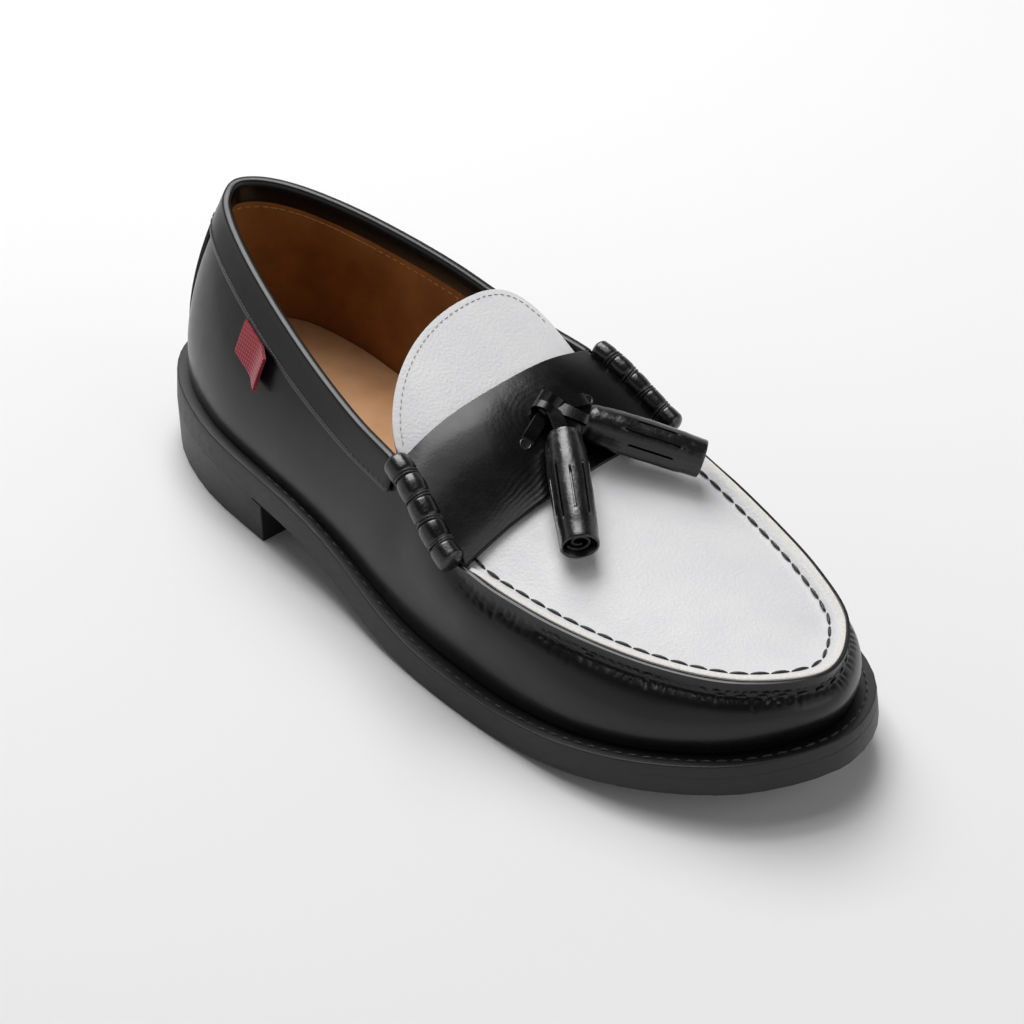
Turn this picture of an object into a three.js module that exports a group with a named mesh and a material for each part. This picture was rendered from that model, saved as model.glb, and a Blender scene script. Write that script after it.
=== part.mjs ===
// A tassel loafer in black and white leather, one right shoe, men's EU 42.
// Millimetres: +X runs to the toe, +Y to the big-toe side and +Z up. The shoe stands on its heel
// and on the ball of its sole at z = 0, and the origin is under the middle of the whole shoe.
import * as THREE from 'three';

const { Vector3 } = THREE;

// Clearance between two pieces that lie on each other
const GAP = 0.3;

// Sole
const SOLE_LENGTH = 296;
const BALL_WIDTH = 105;
const OUTSOLE_THICKNESS = 6.4;
const WELT_THICKNESS = 3.7;
const WELT_REVEAL_HEEL = 4;
const WELT_REVEAL_BALL = 6.5;
const HEEL_HEIGHT = 18.5;
const BREAST_HEIGHT = 15;
const BREAST_ROW = 4;
const HEEL_TAPER = 1;
const BALL_FLAT = 30;
const TOE_SPRING = 14.8;
const TOE_CURVE = 1.35;
const INSOLE_THICKNESS = 6.8;

// Upper
const UPPER_HEIGHT = 60;
const WALL = 1.6;
const WALL_SWELL = 2.4;
// Share of the wall's rise at which it swells most, at the quarters and at the vamp
const SWELL_SHARE_QUARTER = 0.36;
const SWELL_SHARE_VAMP = 0.5;
// How the wall comes in to the topline: share of its lean and of its rise
const TOPLINE_LEAN_SHARE = 0.45;
const TOPLINE_DROP_SHARE = 0.3;
const LIP = 0.8;
const RIDGE_HEIGHT = 4.5;
const SHOULDER_REACH = 6;
const SHOULDER_DROP = 7;
const PLUG_WALL = 1.5;
const PLUG_INSET = WALL + GAP + WALL;
const INSTEP_CROWN = 7.4;
const CROWN_POWER = 3;
const CROWN_FADE = 2.2;
const TOE_BLEND = 3;

// Trim
const BAND_DEPTH = 9.5;
const BAND_LINING_DEPTH = 7;
const BAND_THICKNESS = 1.2;
const BAND_FOLD_SHARE = 0.4;
const STRAP_LENGTH = 37;
const STRAP_THICKNESS = 1.8;
const ROLL_RADIUS = 4;
const ROLL_OFFSET = 1;
const ROLL_SEGMENTS = 5;
const ROLL_WAIST = 0.5;
const ROLL_END_SHARE = 0.55;
// Room in stations at each end of a roll
const ROLL_END_ROOM = 0.02;
const TONGUE_REACH = 30;
const TONGUE_SLOPE_OUTER = 0.38;
const TONGUE_SLOPE_INNER = 0.52;
const TONGUE_THICKNESS = 1.8;
const STAY_THICKNESS = 1.2;
const STAY_HALF_STATION = 0.9;
const TAB_LENGTH = 18;
const TAB_DROP = 11;
const TAB_THICKNESS = 1.4;
const TASSEL_RADIUS = 6.6;
const TASSEL_STRIPS = 9;
const TASSEL_HOLLOW = 12;
const TASSEL_BORE_SHARE = 0.5;
const TASSEL_BORE_TAPER = 0.8;
const TASSEL_SLIT_SHARE = 0.09;
const LACE_WIDTH = 5;
const LACE_THICKNESS = 1.6;
const LACE_RISE = 3;
const LACE_END_LIFT = 5 * GAP;
const KNOT_WIDTH = 10;
const KNOT_THICKNESS = 6;

// Where the sewn seam takes over from the topline, in stations
const SEAM_START = 7.02;
const TOPLINE_END = 5.82;
const PLUG_BACK = 6.42;
const TOE_CORNER = 10.9;
// Stations over which the seam's ridge comes up in front of a roll
const RIDGE_RUN_UP = 0.12;

// Stations round the foot, from the middle of the heel along the little-toe side to the toe and
// back along the big-toe side. Along is a share of SOLE_LENGTH, across of BALL_WIDTH and rise of
// UPPER_HEIGHT, measured from the top of the welt. Edge is the sole's outline and top is the line
// of the topline and of the raised seam.
const STATION_COLUMNS = ['edgeAlong', 'edgeAcross', 'topAlong', 'topAcross', 'topRise'];
const STATION_ROWS = [
  [0.005, -0.030, 0.036, 0.030, 1.000],
  [0.021, -0.170, 0.044, -0.025, 0.965],
  [0.066, -0.290, 0.070, -0.078, 0.945],
  [0.153, -0.388, 0.140, -0.162, 0.890],
  [0.270, -0.430, 0.265, -0.262, 0.770],
  [0.390, -0.460, 0.390, -0.340, 0.743],
  [0.505, -0.510, 0.498, -0.392, 0.825],
  [0.610, -0.535, 0.602, -0.450, 0.637],
  [0.705, -0.535, 0.692, -0.433, 0.580],
  [0.795, -0.510, 0.776, -0.385, 0.507],
  [0.885, -0.420, 0.856, -0.310, 0.433],
  [0.965, -0.250, 0.925, -0.207, 0.382],
  [1.005, 0.020, 0.972, 0.020, 0.340],
  [0.973, 0.260, 0.922, 0.258, 0.345],
  [0.884, 0.435, 0.848, 0.358, 0.452],
  [0.787, 0.484, 0.767, 0.420, 0.553],
  [0.692, 0.472, 0.682, 0.448, 0.673],
  [0.605, 0.415, 0.600, 0.447, 0.768],
  [0.507, 0.345, 0.500, 0.422, 0.920],
  [0.390, 0.305, 0.390, 0.385, 0.853],
  [0.270, 0.310, 0.277, 0.337, 0.892],
  [0.150, 0.315, 0.155, 0.245, 0.978],
  [0.066, 0.262, 0.080, 0.155, 1.013],
  [0.021, 0.140, 0.046, 0.090, 1.008],
];
const STATION_COUNT = STATION_ROWS.length;
const STATIONS = STATION_ROWS.map((row) =>
  Object.fromEntries(STATION_COLUMNS.map((name, column) => [name, row[column]])));

const SOLE_STACK = OUTSOLE_THICKNESS + GAP + WELT_THICKNESS;
// The flat of the ball lies round this share of the sole's length
const BALL_ALONG = 0.632;
const TREAD_START = BALL_ALONG * SOLE_LENGTH - BALL_FLAT / 2;
const TREAD_END = TREAD_START + BALL_FLAT;
const BREAST_X = STATIONS[BREAST_ROW].edgeAlong * SOLE_LENGTH;
const UP = new Vector3(0, 0, 1);

// Small helpers
const mix = (from, to, share) => from + (to - from) * share;
const clamp = (value) => Math.min(1, Math.max(0, value));
const smooth = (from, to, value) => {
  const share = clamp((value - from) / (to - from));
  return share * share * (3 - 2 * share);
};
const steps = (count) => Array.from({ length: count + 1 }, (unused, index) => index / count);
const range = (from, to, count) => steps(count).map((share) => mix(from, to, share));
const moved = (point, direction, distance) => point.clone().addScaledVector(direction, distance);

// Height of the tread line above the floor: the heel seat, the waist, the flat ball, the toe spring
function treadHeight(x) {
  if (x < BREAST_X) {
    return mix(HEEL_HEIGHT, BREAST_HEIGHT, x / BREAST_X);
  }
  if (x < TREAD_START) {
    const share = (x - BREAST_X) / (TREAD_START - BREAST_X);
    return BREAST_HEIGHT * (1 + Math.cos(Math.PI * share)) / 2;
  }
  if (x < TREAD_END) {
    return 0;
  }
  return TOE_SPRING * ((x - TREAD_END) / (SOLE_LENGTH - TREAD_END)) ** TOE_CURVE;
}

// A point on the sole, lifted square to the tread line
function onSole(x, y, lift) {
  const step = 0.5;
  const slope = Math.atan((treadHeight(x + step) - treadHeight(x - step)) / (2 * step));
  return new Vector3(x - lift * Math.sin(slope), y, treadHeight(x) + lift * Math.cos(slope));
}

const edgeCurve = new THREE.CatmullRomCurve3(
  STATIONS.map((row) => new Vector3(row.edgeAlong * SOLE_LENGTH, row.edgeAcross * BALL_WIDTH, 0)),
  true, 'centripetal');
const topCurve = new THREE.CatmullRomCurve3(
  STATIONS.map((row) => new Vector3(
    row.topAlong * SOLE_LENGTH,
    row.topAcross * BALL_WIDTH,
    treadHeight(row.edgeAlong * SOLE_LENGTH) + SOLE_STACK + row.topRise * UPPER_HEIGHT)),
  true, 'centripetal');

const share = (station) => {
  const turned = station % STATION_COUNT;
  return (turned < 0 ? turned + STATION_COUNT : turned) / STATION_COUNT;
};

// The way outwards, level, from a closed curve that runs anticlockwise
function outward(curve, station) {
  const tangent = curve.getTangent(share(station));
  return new Vector3(tangent.y, -tangent.x, 0).normalize();
}

// Distance in stations from the heel, the same on both sides
const fromHeel = (station) => {
  const turned = share(station) * STATION_COUNT;
  return Math.min(turned, STATION_COUNT - turned);
};

function soleRing(inset, lift, columns) {
  return columns.map((station) => {
    const edge = edgeCurve.getPoint(share(station));
    const point = moved(edge, outward(edgeCurve, station), -inset(station));
    return onSole(point.x, point.y, lift);
  });
}

const reveal = (station) =>
  mix(WELT_REVEAL_HEEL, WELT_REVEAL_BALL, smooth(4.5, 7, fromHeel(station)));

// Share of the way from the topline to the sewn seam, and how far the seam's ridge stands up
const seamShare = (station) => smooth(TOPLINE_END, SEAM_START, fromHeel(station));
const ridgeShare = (station) => smooth(SEAM_START, SEAM_START + RIDGE_RUN_UP, fromHeel(station));
const ridgeRise = (station) => mix(LIP, RIDGE_HEIGHT, ridgeShare(station));

// The top edge of the upper's wall, under the collar band, under the rolls and at the seam's foot
function rimBase(station) {
  const top = topCurve.getPoint(share(station));
  const covered = BAND_THICKNESS + GAP + LIP;
  return moved(top, UP, -mix(covered, RIDGE_HEIGHT, seamShare(station)));
}

// The wall of the upper, from the welt (height 0) to the rim (height 1), as a cubic curve
function wallCurve(station) {
  const outFoot = outward(edgeCurve, station);
  const outTop = outward(topCurve, station);
  const foot = soleRing(reveal, SOLE_STACK + GAP, [station])[0];
  const rim = rimBase(station);
  const rise = rim.z - foot.z;
  const lean = Math.max(0, foot.clone().sub(rim).dot(outTop));
  const seam = seamShare(station);
  const fullest = mix(SWELL_SHARE_QUARTER, SWELL_SHARE_VAMP, seam);
  const lower = moved(moved(foot, UP, fullest * rise), outFoot, WALL_SWELL);
  const reach = mix(TOPLINE_LEAN_SHARE * lean + WALL_SWELL, SHOULDER_REACH, seam);
  const drop = mix(TOPLINE_DROP_SHARE * rise, SHOULDER_DROP, seam);
  const upper = moved(moved(rim, UP, -drop), outTop, reach);
  return new THREE.CubicBezierCurve3(foot, lower, upper, rim);
}

// A point on the wall, or beside it where the offset isn't 0
function wallPoint(station, height, offset) {
  const curve = wallCurve(station);
  const climb = curve.getTangent(clamp(height));
  const along = topCurve.getTangent(share(station)).setZ(0).normalize();
  const normal = along.cross(climb).normalize();
  return moved(curve.getPoint(clamp(height)), normal, offset);
}

const wallLength = (station) => wallCurve(station).getLength();
const below = (station, depth) => 1 - depth / wallLength(station);

// The edge of the instep, inside both halves of the seam
const instepEdge = (station) => moved(rimBase(station), outward(topCurve, station), -PLUG_INSET);

// The instep between the two sides of the rim: row is a station of the little-toe side
function instep(row, side) {
  const point = instepEdge(row).lerp(instepEdge(STATION_COUNT - row), side);
  const forward = clamp((row - PLUG_BACK) / (TOE_CORNER - PLUG_BACK));
  if (forward > 0) {
    const arc = instepEdge(mix(TOE_CORNER, STATION_COUNT - TOE_CORNER, side));
    const chord = instepEdge(TOE_CORNER).lerp(instepEdge(STATION_COUNT - TOE_CORNER), side);
    point.addScaledVector(arc.sub(chord), forward ** TOE_BLEND);
  }
  const arch = 1 - Math.abs(2 * side - 1) ** CROWN_POWER;
  return moved(point, UP, INSTEP_CROWN * arch * (1 - forward ** CROWN_FADE));
}

// The same surface lifted along its own normal
function onInstep(row, side, lift) {
  const step = 0.01;
  const point = instep(row, side);
  const along = instep(row + step, side).sub(instep(row - step, side));
  const across = instep(row, clamp(side + step)).sub(instep(row, clamp(side - step)));
  return moved(point, along.cross(across).normalize(), lift);
}

// Station of the little-toe side whose row of the instep has this x
function rowAt(x) {
  let low = 4;
  let high = 11;
  for (let round = 0; round < 30; round += 1) {
    const middle = (low + high) / 2;
    if (instep(middle, 0.5).x < x) {
      low = middle;
    } else {
      high = middle;
    }
  }
  return (low + high) / 2;
}

const STRAP_FRONT_X = topCurve.getPoint(share(SEAM_START)).x - 2 * GAP;
const STRAP_BACK_X = STRAP_FRONT_X - STRAP_LENGTH;
const STRAP_BACK = rowAt(STRAP_BACK_X);
const STRAP_FRONT = rowAt(STRAP_FRONT_X);

// A point above or below the instep by its place in plan; behind the strap the surface runs on
function overInstep(x, y, lift) {
  const reach = Math.max(0, STRAP_BACK_X - x);
  const row = rowAt(Math.max(x, STRAP_BACK_X));
  const left = instep(row, 0).y;
  const right = instep(row, 1).y;
  const side = clamp((y - left) / (right - left));
  const slope = mix(TONGUE_SLOPE_OUTER, TONGUE_SLOPE_INNER, side);
  return new Vector3(x, y, instep(row, side).z + reach * slope + lift);
}

// Mesh making: rows of points joined by pairs of triangles
class Skin {
  constructor() {
    this.points = [];
    this.faces = [];
  }

  add(points) {
    return points.map((point) => this.points.push(point) - 1);
  }

  quad(a, b, c, d) {
    this.faces.push(a, b, c, a, c, d);
  }

  strip(lower, upper, closed) {
    const last = closed ? lower.length : lower.length - 1;
    for (let i = 0; i < last; i += 1) {
      const next = (i + 1) % lower.length;
      this.quad(lower[i], lower[next], upper[next], upper[i]);
    }
  }

  // Closes a loop by joining each point with the one across from it
  capAcross(loop, flip) {
    for (let i = 0; i < loop.length / 2 - 1; i += 1) {
      const j = loop.length - 1 - i;
      if (flip) {
        this.quad(loop[i], loop[j], loop[j - 1], loop[i + 1]);
      } else {
        this.quad(loop[i], loop[i + 1], loop[j - 1], loop[j]);
      }
    }
  }

  fan(loop, centre, flip) {
    const [middle] = this.add([centre]);
    for (let i = 0; i < loop.length; i += 1) {
      const next = (i + 1) % loop.length;
      if (flip) {
        this.faces.push(middle, loop[next], loop[i]);
      } else {
        this.faces.push(middle, loop[i], loop[next]);
      }
    }
  }

  // The mesh, turned so that its faces point out
  geometry() {
    let volume = 0;
    for (let i = 0; i < this.faces.length; i += 3) {
      const [a, b, c] = this.faces.slice(i, i + 3).map((index) => this.points[index]);
      volume += a.dot(b.clone().cross(c));
    }
    const faces = volume < 0 ? this.faces.slice().reverse() : this.faces;
    const geometry = new THREE.BufferGeometry();
    geometry.setAttribute('position',
      new THREE.Float32BufferAttribute(this.points.flatMap((point) => point.toArray()), 3));
    geometry.setIndex(faces);
    geometry.computeVertexNormals();
    return geometry;
  }
}

// A slab between loops of points, with flat ends that join across
function slab(loops) {
  const skin = new Skin();
  const rings = loops.map((loop) => skin.add(loop));
  for (let i = 0; i + 1 < rings.length; i += 1) {
    skin.strip(rings[i], rings[i + 1], true);
  }
  skin.capAcross(rings[0], true);
  skin.capAcross(rings[rings.length - 1], false);
  return skin.geometry();
}

// A band that closes on itself both round its section and along its length
function ring(rows) {
  const skin = new Skin();
  const loops = rows.map((row) => skin.add(row));
  loops.forEach((loop, index) => skin.strip(loop, loops[(index + 1) % loops.length], true));
  return skin.geometry();
}

// A sheet of even wall between two grids of points, with more rows round its border if given
function sheet(top, bottom, border = () => []) {
  const skin = new Skin();
  const upper = top.map((row) => skin.add(row));
  const lower = bottom.map((row) => skin.add(row));
  const last = upper.length - 1;
  const end = upper[0].length - 1;
  for (let i = 0; i < last; i += 1) {
    skin.strip(upper[i], upper[i + 1], false);
    skin.strip(lower[i + 1], lower[i], false);
  }
  const places = [];
  for (let j = 0; j < end; j += 1) places.push([0, j]);
  for (let i = 0; i < last; i += 1) places.push([i, end]);
  for (let j = end; j > 0; j -= 1) places.push([last, j]);
  for (let i = last; i > 0; i -= 1) places.push([i, 0]);
  const columns = places.map(([i, j]) => skin.add(border(i, j)));
  const rings = [places.map(([i, j]) => upper[i][j])];
  for (let k = 0; k < columns[0].length; k += 1) {
    rings.push(columns.map((column) => column[k]));
  }
  rings.push(places.map(([i, j]) => lower[i][j]));
  for (let k = 0; k + 1 < rings.length; k += 1) {
    skin.strip(rings[k + 1], rings[k], true);
  }
  return skin.geometry();
}

// A solid skinned over rings, with a point at the middle of each end
function skinned(rings) {
  const skin = new Skin();
  const loops = rings.map((points) => skin.add(points));
  for (let i = 0; i + 1 < loops.length; i += 1) {
    skin.strip(loops[i], loops[i + 1], true);
  }
  const middle = (points) => points.reduce((sum, point) => sum.add(point), new Vector3())
    .divideScalar(points.length);
  skin.fan(loops[0], middle(rings[0]), true);
  skin.fan(loops[loops.length - 1], middle(rings[rings.length - 1]), false);
  return skin.geometry();
}

// Materials, one for each kind of surface
const leatherBlack = new THREE.MeshStandardMaterial({ color: '#17171a', roughness: 0.32 });
const leatherWhite = new THREE.MeshStandardMaterial({ color: '#e9e8e6', roughness: 0.5 });
const leatherTan = new THREE.MeshStandardMaterial({ color: '#c79a6a', roughness: 0.6 });
const rubberBlack = new THREE.MeshStandardMaterial({ color: '#121213', roughness: 0.55 });
const clothRed = new THREE.MeshStandardMaterial({ color: '#9c1424', roughness: 0.8 });

const shoe = new THREE.Group();

function addPiece(name, geometry, material) {
  const mesh = new THREE.Mesh(geometry, material);
  mesh.name = name;
  shoe.add(mesh);
}

// Columns round the foot, set so that each has a partner straight across
const COLUMN_COUNT = 96;
const COLUMNS = Array.from({ length: COLUMN_COUNT },
  (unused, index) => (index + 0.5) * STATION_COUNT / COLUMN_COUNT);

// Sole: outsole, heel block, welt and insole

function makeOutsole() {
  const flush = () => 0;
  return slab([soleRing(flush, 0, COLUMNS), soleRing(flush, OUTSOLE_THICKNESS, COLUMNS)]);
}

function makeHeel() {
  const stations = range(-BREAST_ROW, BREAST_ROW, 25);
  const top = soleRing(() => 0, 0, stations).map((point) => moved(point, UP, -GAP));
  const tapered = soleRing(() => HEEL_TAPER, 0, stations);
  const bottom = tapered.map((point) => new Vector3(Math.min(point.x, BREAST_X), point.y, 0));
  return slab([bottom, top]);
}

function makeWelt() {
  const inner = (station) => reveal(station) + WALL + GAP;
  const low = OUTSOLE_THICKNESS + GAP;
  return ring([
    soleRing(() => 0, low, COLUMNS),
    soleRing(() => 0, SOLE_STACK, COLUMNS),
    soleRing(inner, SOLE_STACK, COLUMNS),
    soleRing(inner, low, COLUMNS),
  ]);
}

function makeInsole() {
  const inset = (station) => reveal(station) + WALL + 3 * GAP;
  const low = OUTSOLE_THICKNESS + GAP;
  return slab([soleRing(inset, low, COLUMNS), soleRing(inset, low + INSOLE_THICKNESS, COLUMNS)]);
}

// Upper: vamp and quarters in one hollow wall, with the outer half of the raised seam

function makeUpper() {
  const heights = steps(6);
  const outer = heights.map((height) => COLUMNS.map((station) => wallPoint(station, height, 0)));
  const lipOuter = COLUMNS.map((station) => moved(rimBase(station), UP, ridgeRise(station)));
  const lipInner = COLUMNS.map((station, index) =>
    moved(lipOuter[index], outward(topCurve, station), -WALL));
  const inner = heights.slice().reverse()
    .map((height) => COLUMNS.map((station) => wallPoint(station, height, -WALL)));
  return ring([...outer, lipOuter, lipInner, ...inner]);
}

// Plug: the white apron over the toes, with the inner half of the raised seam

const PLUG_ROWS = 12;
const PLUG_SIDES = 12;

function makePlug() {
  const rows = [
    ...range(PLUG_BACK, SEAM_START, 2),
    ...range(SEAM_START + RIDGE_RUN_UP, TOE_CORNER, PLUG_ROWS - 3),
  ];
  const sides = steps(PLUG_SIDES);
  const top = rows.map((row) => sides.map((side) => instep(row, side)));
  const bottom = top.map((row) => row.map((point) => moved(point, UP, -PLUG_WALL)));
  const border = (i, j) => {
    const onSide = j === 0 || j === PLUG_SIDES || i === PLUG_ROWS;
    if (!onSide) {
      const cut = moved(top[i][j], new Vector3(-1, 0, 0), 2 * GAP);
      return [moved(cut, UP, -GAP), moved(cut, UP, -2 * GAP), moved(cut, UP, -PLUG_WALL)];
    }
    let station = mix(TOE_CORNER, STATION_COUNT - TOE_CORNER, sides[j]);
    if (j === 0) station = rows[i];
    if (j === PLUG_SIDES) station = STATION_COUNT - rows[i];
    const foot = moved(rimBase(station), outward(topCurve, station), -(WALL + GAP));
    const crest = ridgeRise(station);
    return [
      moved(top[i][j], UP, crest),
      moved(foot, UP, crest),
      moved(foot, UP, -PLUG_WALL),
    ];
  };
  return sheet(top, bottom, border);
}

// Saddle strap over the instep, between the two rolls

function makeStrap() {
  const rollEdge = ROLL_RADIUS - ROLL_OFFSET + 2 * GAP;
  const inset = Math.max(rollEdge - PLUG_INSET, 3 * GAP);
  const rows = range(STRAP_BACK, STRAP_FRONT, 8);
  const layer = (lift) => rows.map((row) => {
    const width = instep(row, 1).distanceTo(instep(row, 0));
    const margin = inset / width;
    return range(margin, 1 - margin, 16).map((side) => onInstep(row, side, lift));
  });
  return sheet(layer(2 * GAP + STRAP_THICKNESS), layer(2 * GAP));
}

// Tongue: a round tab that runs out from under the strap, fullest towards the big-toe side

const TONGUE_PEAK = 0.2;
const TONGUE_POWER_OUTER = 1.8;
const TONGUE_POWER_INNER = 4;
const TONGUE_CORNER = 0.97;

// How far the tab reaches behind the strap, at a place across it from -1 to 1
function tongueReach(across) {
  const outer = across < TONGUE_PEAK;
  const power = outer ? TONGUE_POWER_OUTER : TONGUE_POWER_INNER;
  const room = outer ? 1 + TONGUE_PEAK : 1 - TONGUE_PEAK;
  const away = Math.abs(across - TONGUE_PEAK) / room;
  return TONGUE_REACH * (1 - TONGUE_CORNER * away ** power) ** (1 / power);
}

function makeTongue() {
  const front = instep(PLUG_BACK, 0.5).x - 3 * GAP;
  const left = instep(STRAP_BACK, 0).y;
  const right = instep(STRAP_BACK, 1).y;
  const half = (right - left) / 2 - 2 * GAP;
  const sides = steps(16).map((side) => -Math.cos(Math.PI * side));
  const layer = (lift) => steps(9).map((length) => sides.map((across) => {
    const x = mix(front, STRAP_BACK_X - tongueReach(across), length);
    return overInstep(x, (left + right) / 2 + half * across, lift);
  }));
  return sheet(layer(-GAP), layer(-GAP - TONGUE_THICKNESS));
}

// Collar band: a strip folded over the topline, from one roll round the heel to the other

function makeBand() {
  const first = TOPLINE_END - ROLL_END_ROOM;
  const stations = range(-first, first, 56);
  const fold = (station, clear) => {
    const rim = moved(rimBase(station), UP, LIP + clear);
    const out = outward(topCurve, station);
    return [
      wallPoint(station, below(station, BAND_DEPTH), clear),
      wallPoint(station, below(station, BAND_DEPTH / 2), clear),
      wallPoint(station, 1, clear),
      moved(rim, out, clear * BAND_FOLD_SHARE),
      moved(rim, out, -WALL - clear * BAND_FOLD_SHARE),
      wallPoint(station, 1, -WALL - clear),
      wallPoint(station, below(station, BAND_LINING_DEPTH), -WALL - clear),
    ];
  };
  const sections = stations.map((station) =>
    [...fold(station, GAP + BAND_THICKNESS), ...fold(station, GAP).reverse()]);
  const skin = new Skin();
  const loops = sections.map((points) => skin.add(points));
  for (let i = 0; i + 1 < loops.length; i += 1) {
    skin.strip(loops[i], loops[i + 1], true);
  }
  skin.capAcross(loops[0], true);
  skin.capAcross(loops[loops.length - 1], false);
  return skin.geometry();
}

// Back stay: the narrow panel up the back of the heel

function makeStay() {
  const stations = range(-STAY_HALF_STATION, STAY_HALF_STATION, 8);
  const layer = (offset) => steps(6).map((height) => stations.map((station) =>
    wallPoint(station, mix(0.02, below(station, BAND_DEPTH + GAP), height), offset)));
  return sheet(layer(GAP + STAY_THICKNESS), layer(GAP));
}

// Side tab: a folded woven strip sewn under the collar band on the little-toe side

const TAB_STATION = 3.58;

function makeTab() {
  const first = wallPoint(TAB_STATION, below(TAB_STATION, BAND_DEPTH), 0);
  const next = wallPoint(TAB_STATION + 0.1, below(TAB_STATION + 0.1, BAND_DEPTH), 0);
  const spread = 0.1 * TAB_LENGTH / first.distanceTo(next);
  const stations = range(TAB_STATION - spread / 2, TAB_STATION + spread / 2, 4);
  const layer = (offset) => range(BAND_DEPTH + GAP, BAND_DEPTH + GAP + TAB_DROP, 3).map((depth) =>
    stations.map((station) => wallPoint(station, below(station, depth), offset)));
  return sheet(layer(GAP + TAB_THICKNESS), layer(GAP));
}

// Rolls: the strap's ends, gathered over the seam and bound into segments

function makeRoll(mirrored) {
  const inside = (station) => (mirrored ? STATION_COUNT - station : station);
  const stations = range(TOPLINE_END, SEAM_START - ROLL_END_ROOM, ROLL_SEGMENTS * 4);
  const rings = stations.map((station, index) => {
    const turned = inside(station);
    const out = outward(topCurve, turned);
    const wave = Math.abs(Math.sin(Math.PI * index / 4));
    const closing = index === 0 || index === stations.length - 1 ? ROLL_END_SHARE : 1;
    const radius = (ROLL_RADIUS - ROLL_WAIST * (1 - wave)) * closing;
    const floor = moved(rimBase(turned), UP, LIP + 3 * GAP + ROLL_RADIUS);
    const centre = moved(floor, out, ROLL_OFFSET);
    return range(0, 2 * Math.PI, 12).slice(0, -1).map((angle) =>
      moved(moved(centre, out, radius * Math.cos(angle)), UP, radius * Math.sin(angle)));
  });
  return skinned(rings);
}

// Tassels: leather cut into strips and rolled up, hollow at the free end, lying on strap and plug.
// The places are shares of SOLE_LENGTH and BALL_WIDTH.
const KNOT_PLACE = { along: 0.5525, across: 0.081 };
const HOLE_PLACES = [{ along: 0.55, across: -0.039 }, { along: 0.541, across: 0.216 }];
// Turn is from +X in degrees, start is the distance from the knot, lift is under the free end
const TASSEL_COLUMNS = ['name', 'turn', 'length', 'start', 'lift'];
const TASSEL_ROWS = [
  ['tassel_outer', -36, 42.4, 8.5, 0],
  ['tassel_inner', 39.5, 38.8, 8.2, 3],
];
const TASSELS = TASSEL_ROWS.map((row) =>
  Object.fromEntries(TASSEL_COLUMNS.map((name, column) => [name, row[column]])));
// Radius as a share of TASSEL_RADIUS, at a share of the tassel's length
const TASSEL_PROFILE = [
  [0.00, 0.46],
  [0.015, 0.84],
  [0.06, 0.95],
  [0.22, 0.98],
  [0.27, 1.00],
  [0.55, 1.00],
  [0.80, 0.98],
  [0.86, 0.95],
  [1.00, 0.93],
];
// The strips stand apart between these shares of the length
const SLIT_FROM = 0.25;
const SLIT_TO = 0.85;

function aboveStrap(x, y, lift) {
  return overInstep(x, y, 2 * GAP + STRAP_THICKNESS + lift);
}

const onStrap = (place, lift) =>
  aboveStrap(place.along * SOLE_LENGTH, place.across * BALL_WIDTH, lift);

function tasselFrame({ turn, length, start, lift }) {
  const angle = THREE.MathUtils.degToRad(turn);
  const heading = new Vector3(Math.cos(angle), Math.sin(angle), 0);
  const knot = onStrap(KNOT_PLACE, 0);
  const near = moved(knot, heading, start);
  const far = moved(knot, heading, start + length);
  const head = aboveStrap(near.x, near.y, TASSEL_RADIUS + 2 * GAP);
  const foot = overInstep(far.x, far.y, TASSEL_RADIUS + GAP + lift);
  const axis = foot.sub(head).normalize();
  const level = new Vector3().crossVectors(UP, axis).normalize();
  const rise = new Vector3().crossVectors(axis, level);
  return { head, axis, level, rise };
}

function makeTassel(row) {
  const { head, axis, level, rise } = tasselFrame(row);
  const sides = TASSEL_STRIPS * 2;
  const circle = (distance, radius, slit) => {
    const centre = moved(head, axis, distance);
    return range(0, 2 * Math.PI, sides).slice(0, -1).map((angle, index) => {
      const reach = radius * (index % 2 === 0 ? 1 : 1 - slit);
      return moved(moved(centre, level, reach * Math.cos(angle)), rise, reach * Math.sin(angle));
    });
  };
  const outside = TASSEL_PROFILE.map(([along, size]) => {
    const slit = along > SLIT_FROM && along < SLIT_TO ? TASSEL_SLIT_SHARE : 0;
    return circle(along * row.length, size * TASSEL_RADIUS, slit);
  });
  const bore = TASSEL_RADIUS * TASSEL_BORE_SHARE;
  const inside = [
    circle(row.length, bore, 0),
    circle(row.length - TASSEL_HOLLOW, bore * TASSEL_BORE_TAPER, 0),
  ];
  return skinned([...outside, ...inside]);
}

// Lace: a flat thong that comes up through one hole of the strap, swells into the knot that holds
// the tassels and goes down through the other

// Shares of the lace's length between which it swells into the knot
const KNOT_FROM = 0.24;
const KNOT_FULL = 0.44;
// Corners of its section, as shares of its half width and of its thickness
const LACE_SECTION = [[-0.75, 0], [0.75, 0], [1, 0.5], [0.75, 1], [-0.75, 1], [-1, 0.5]];

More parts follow.
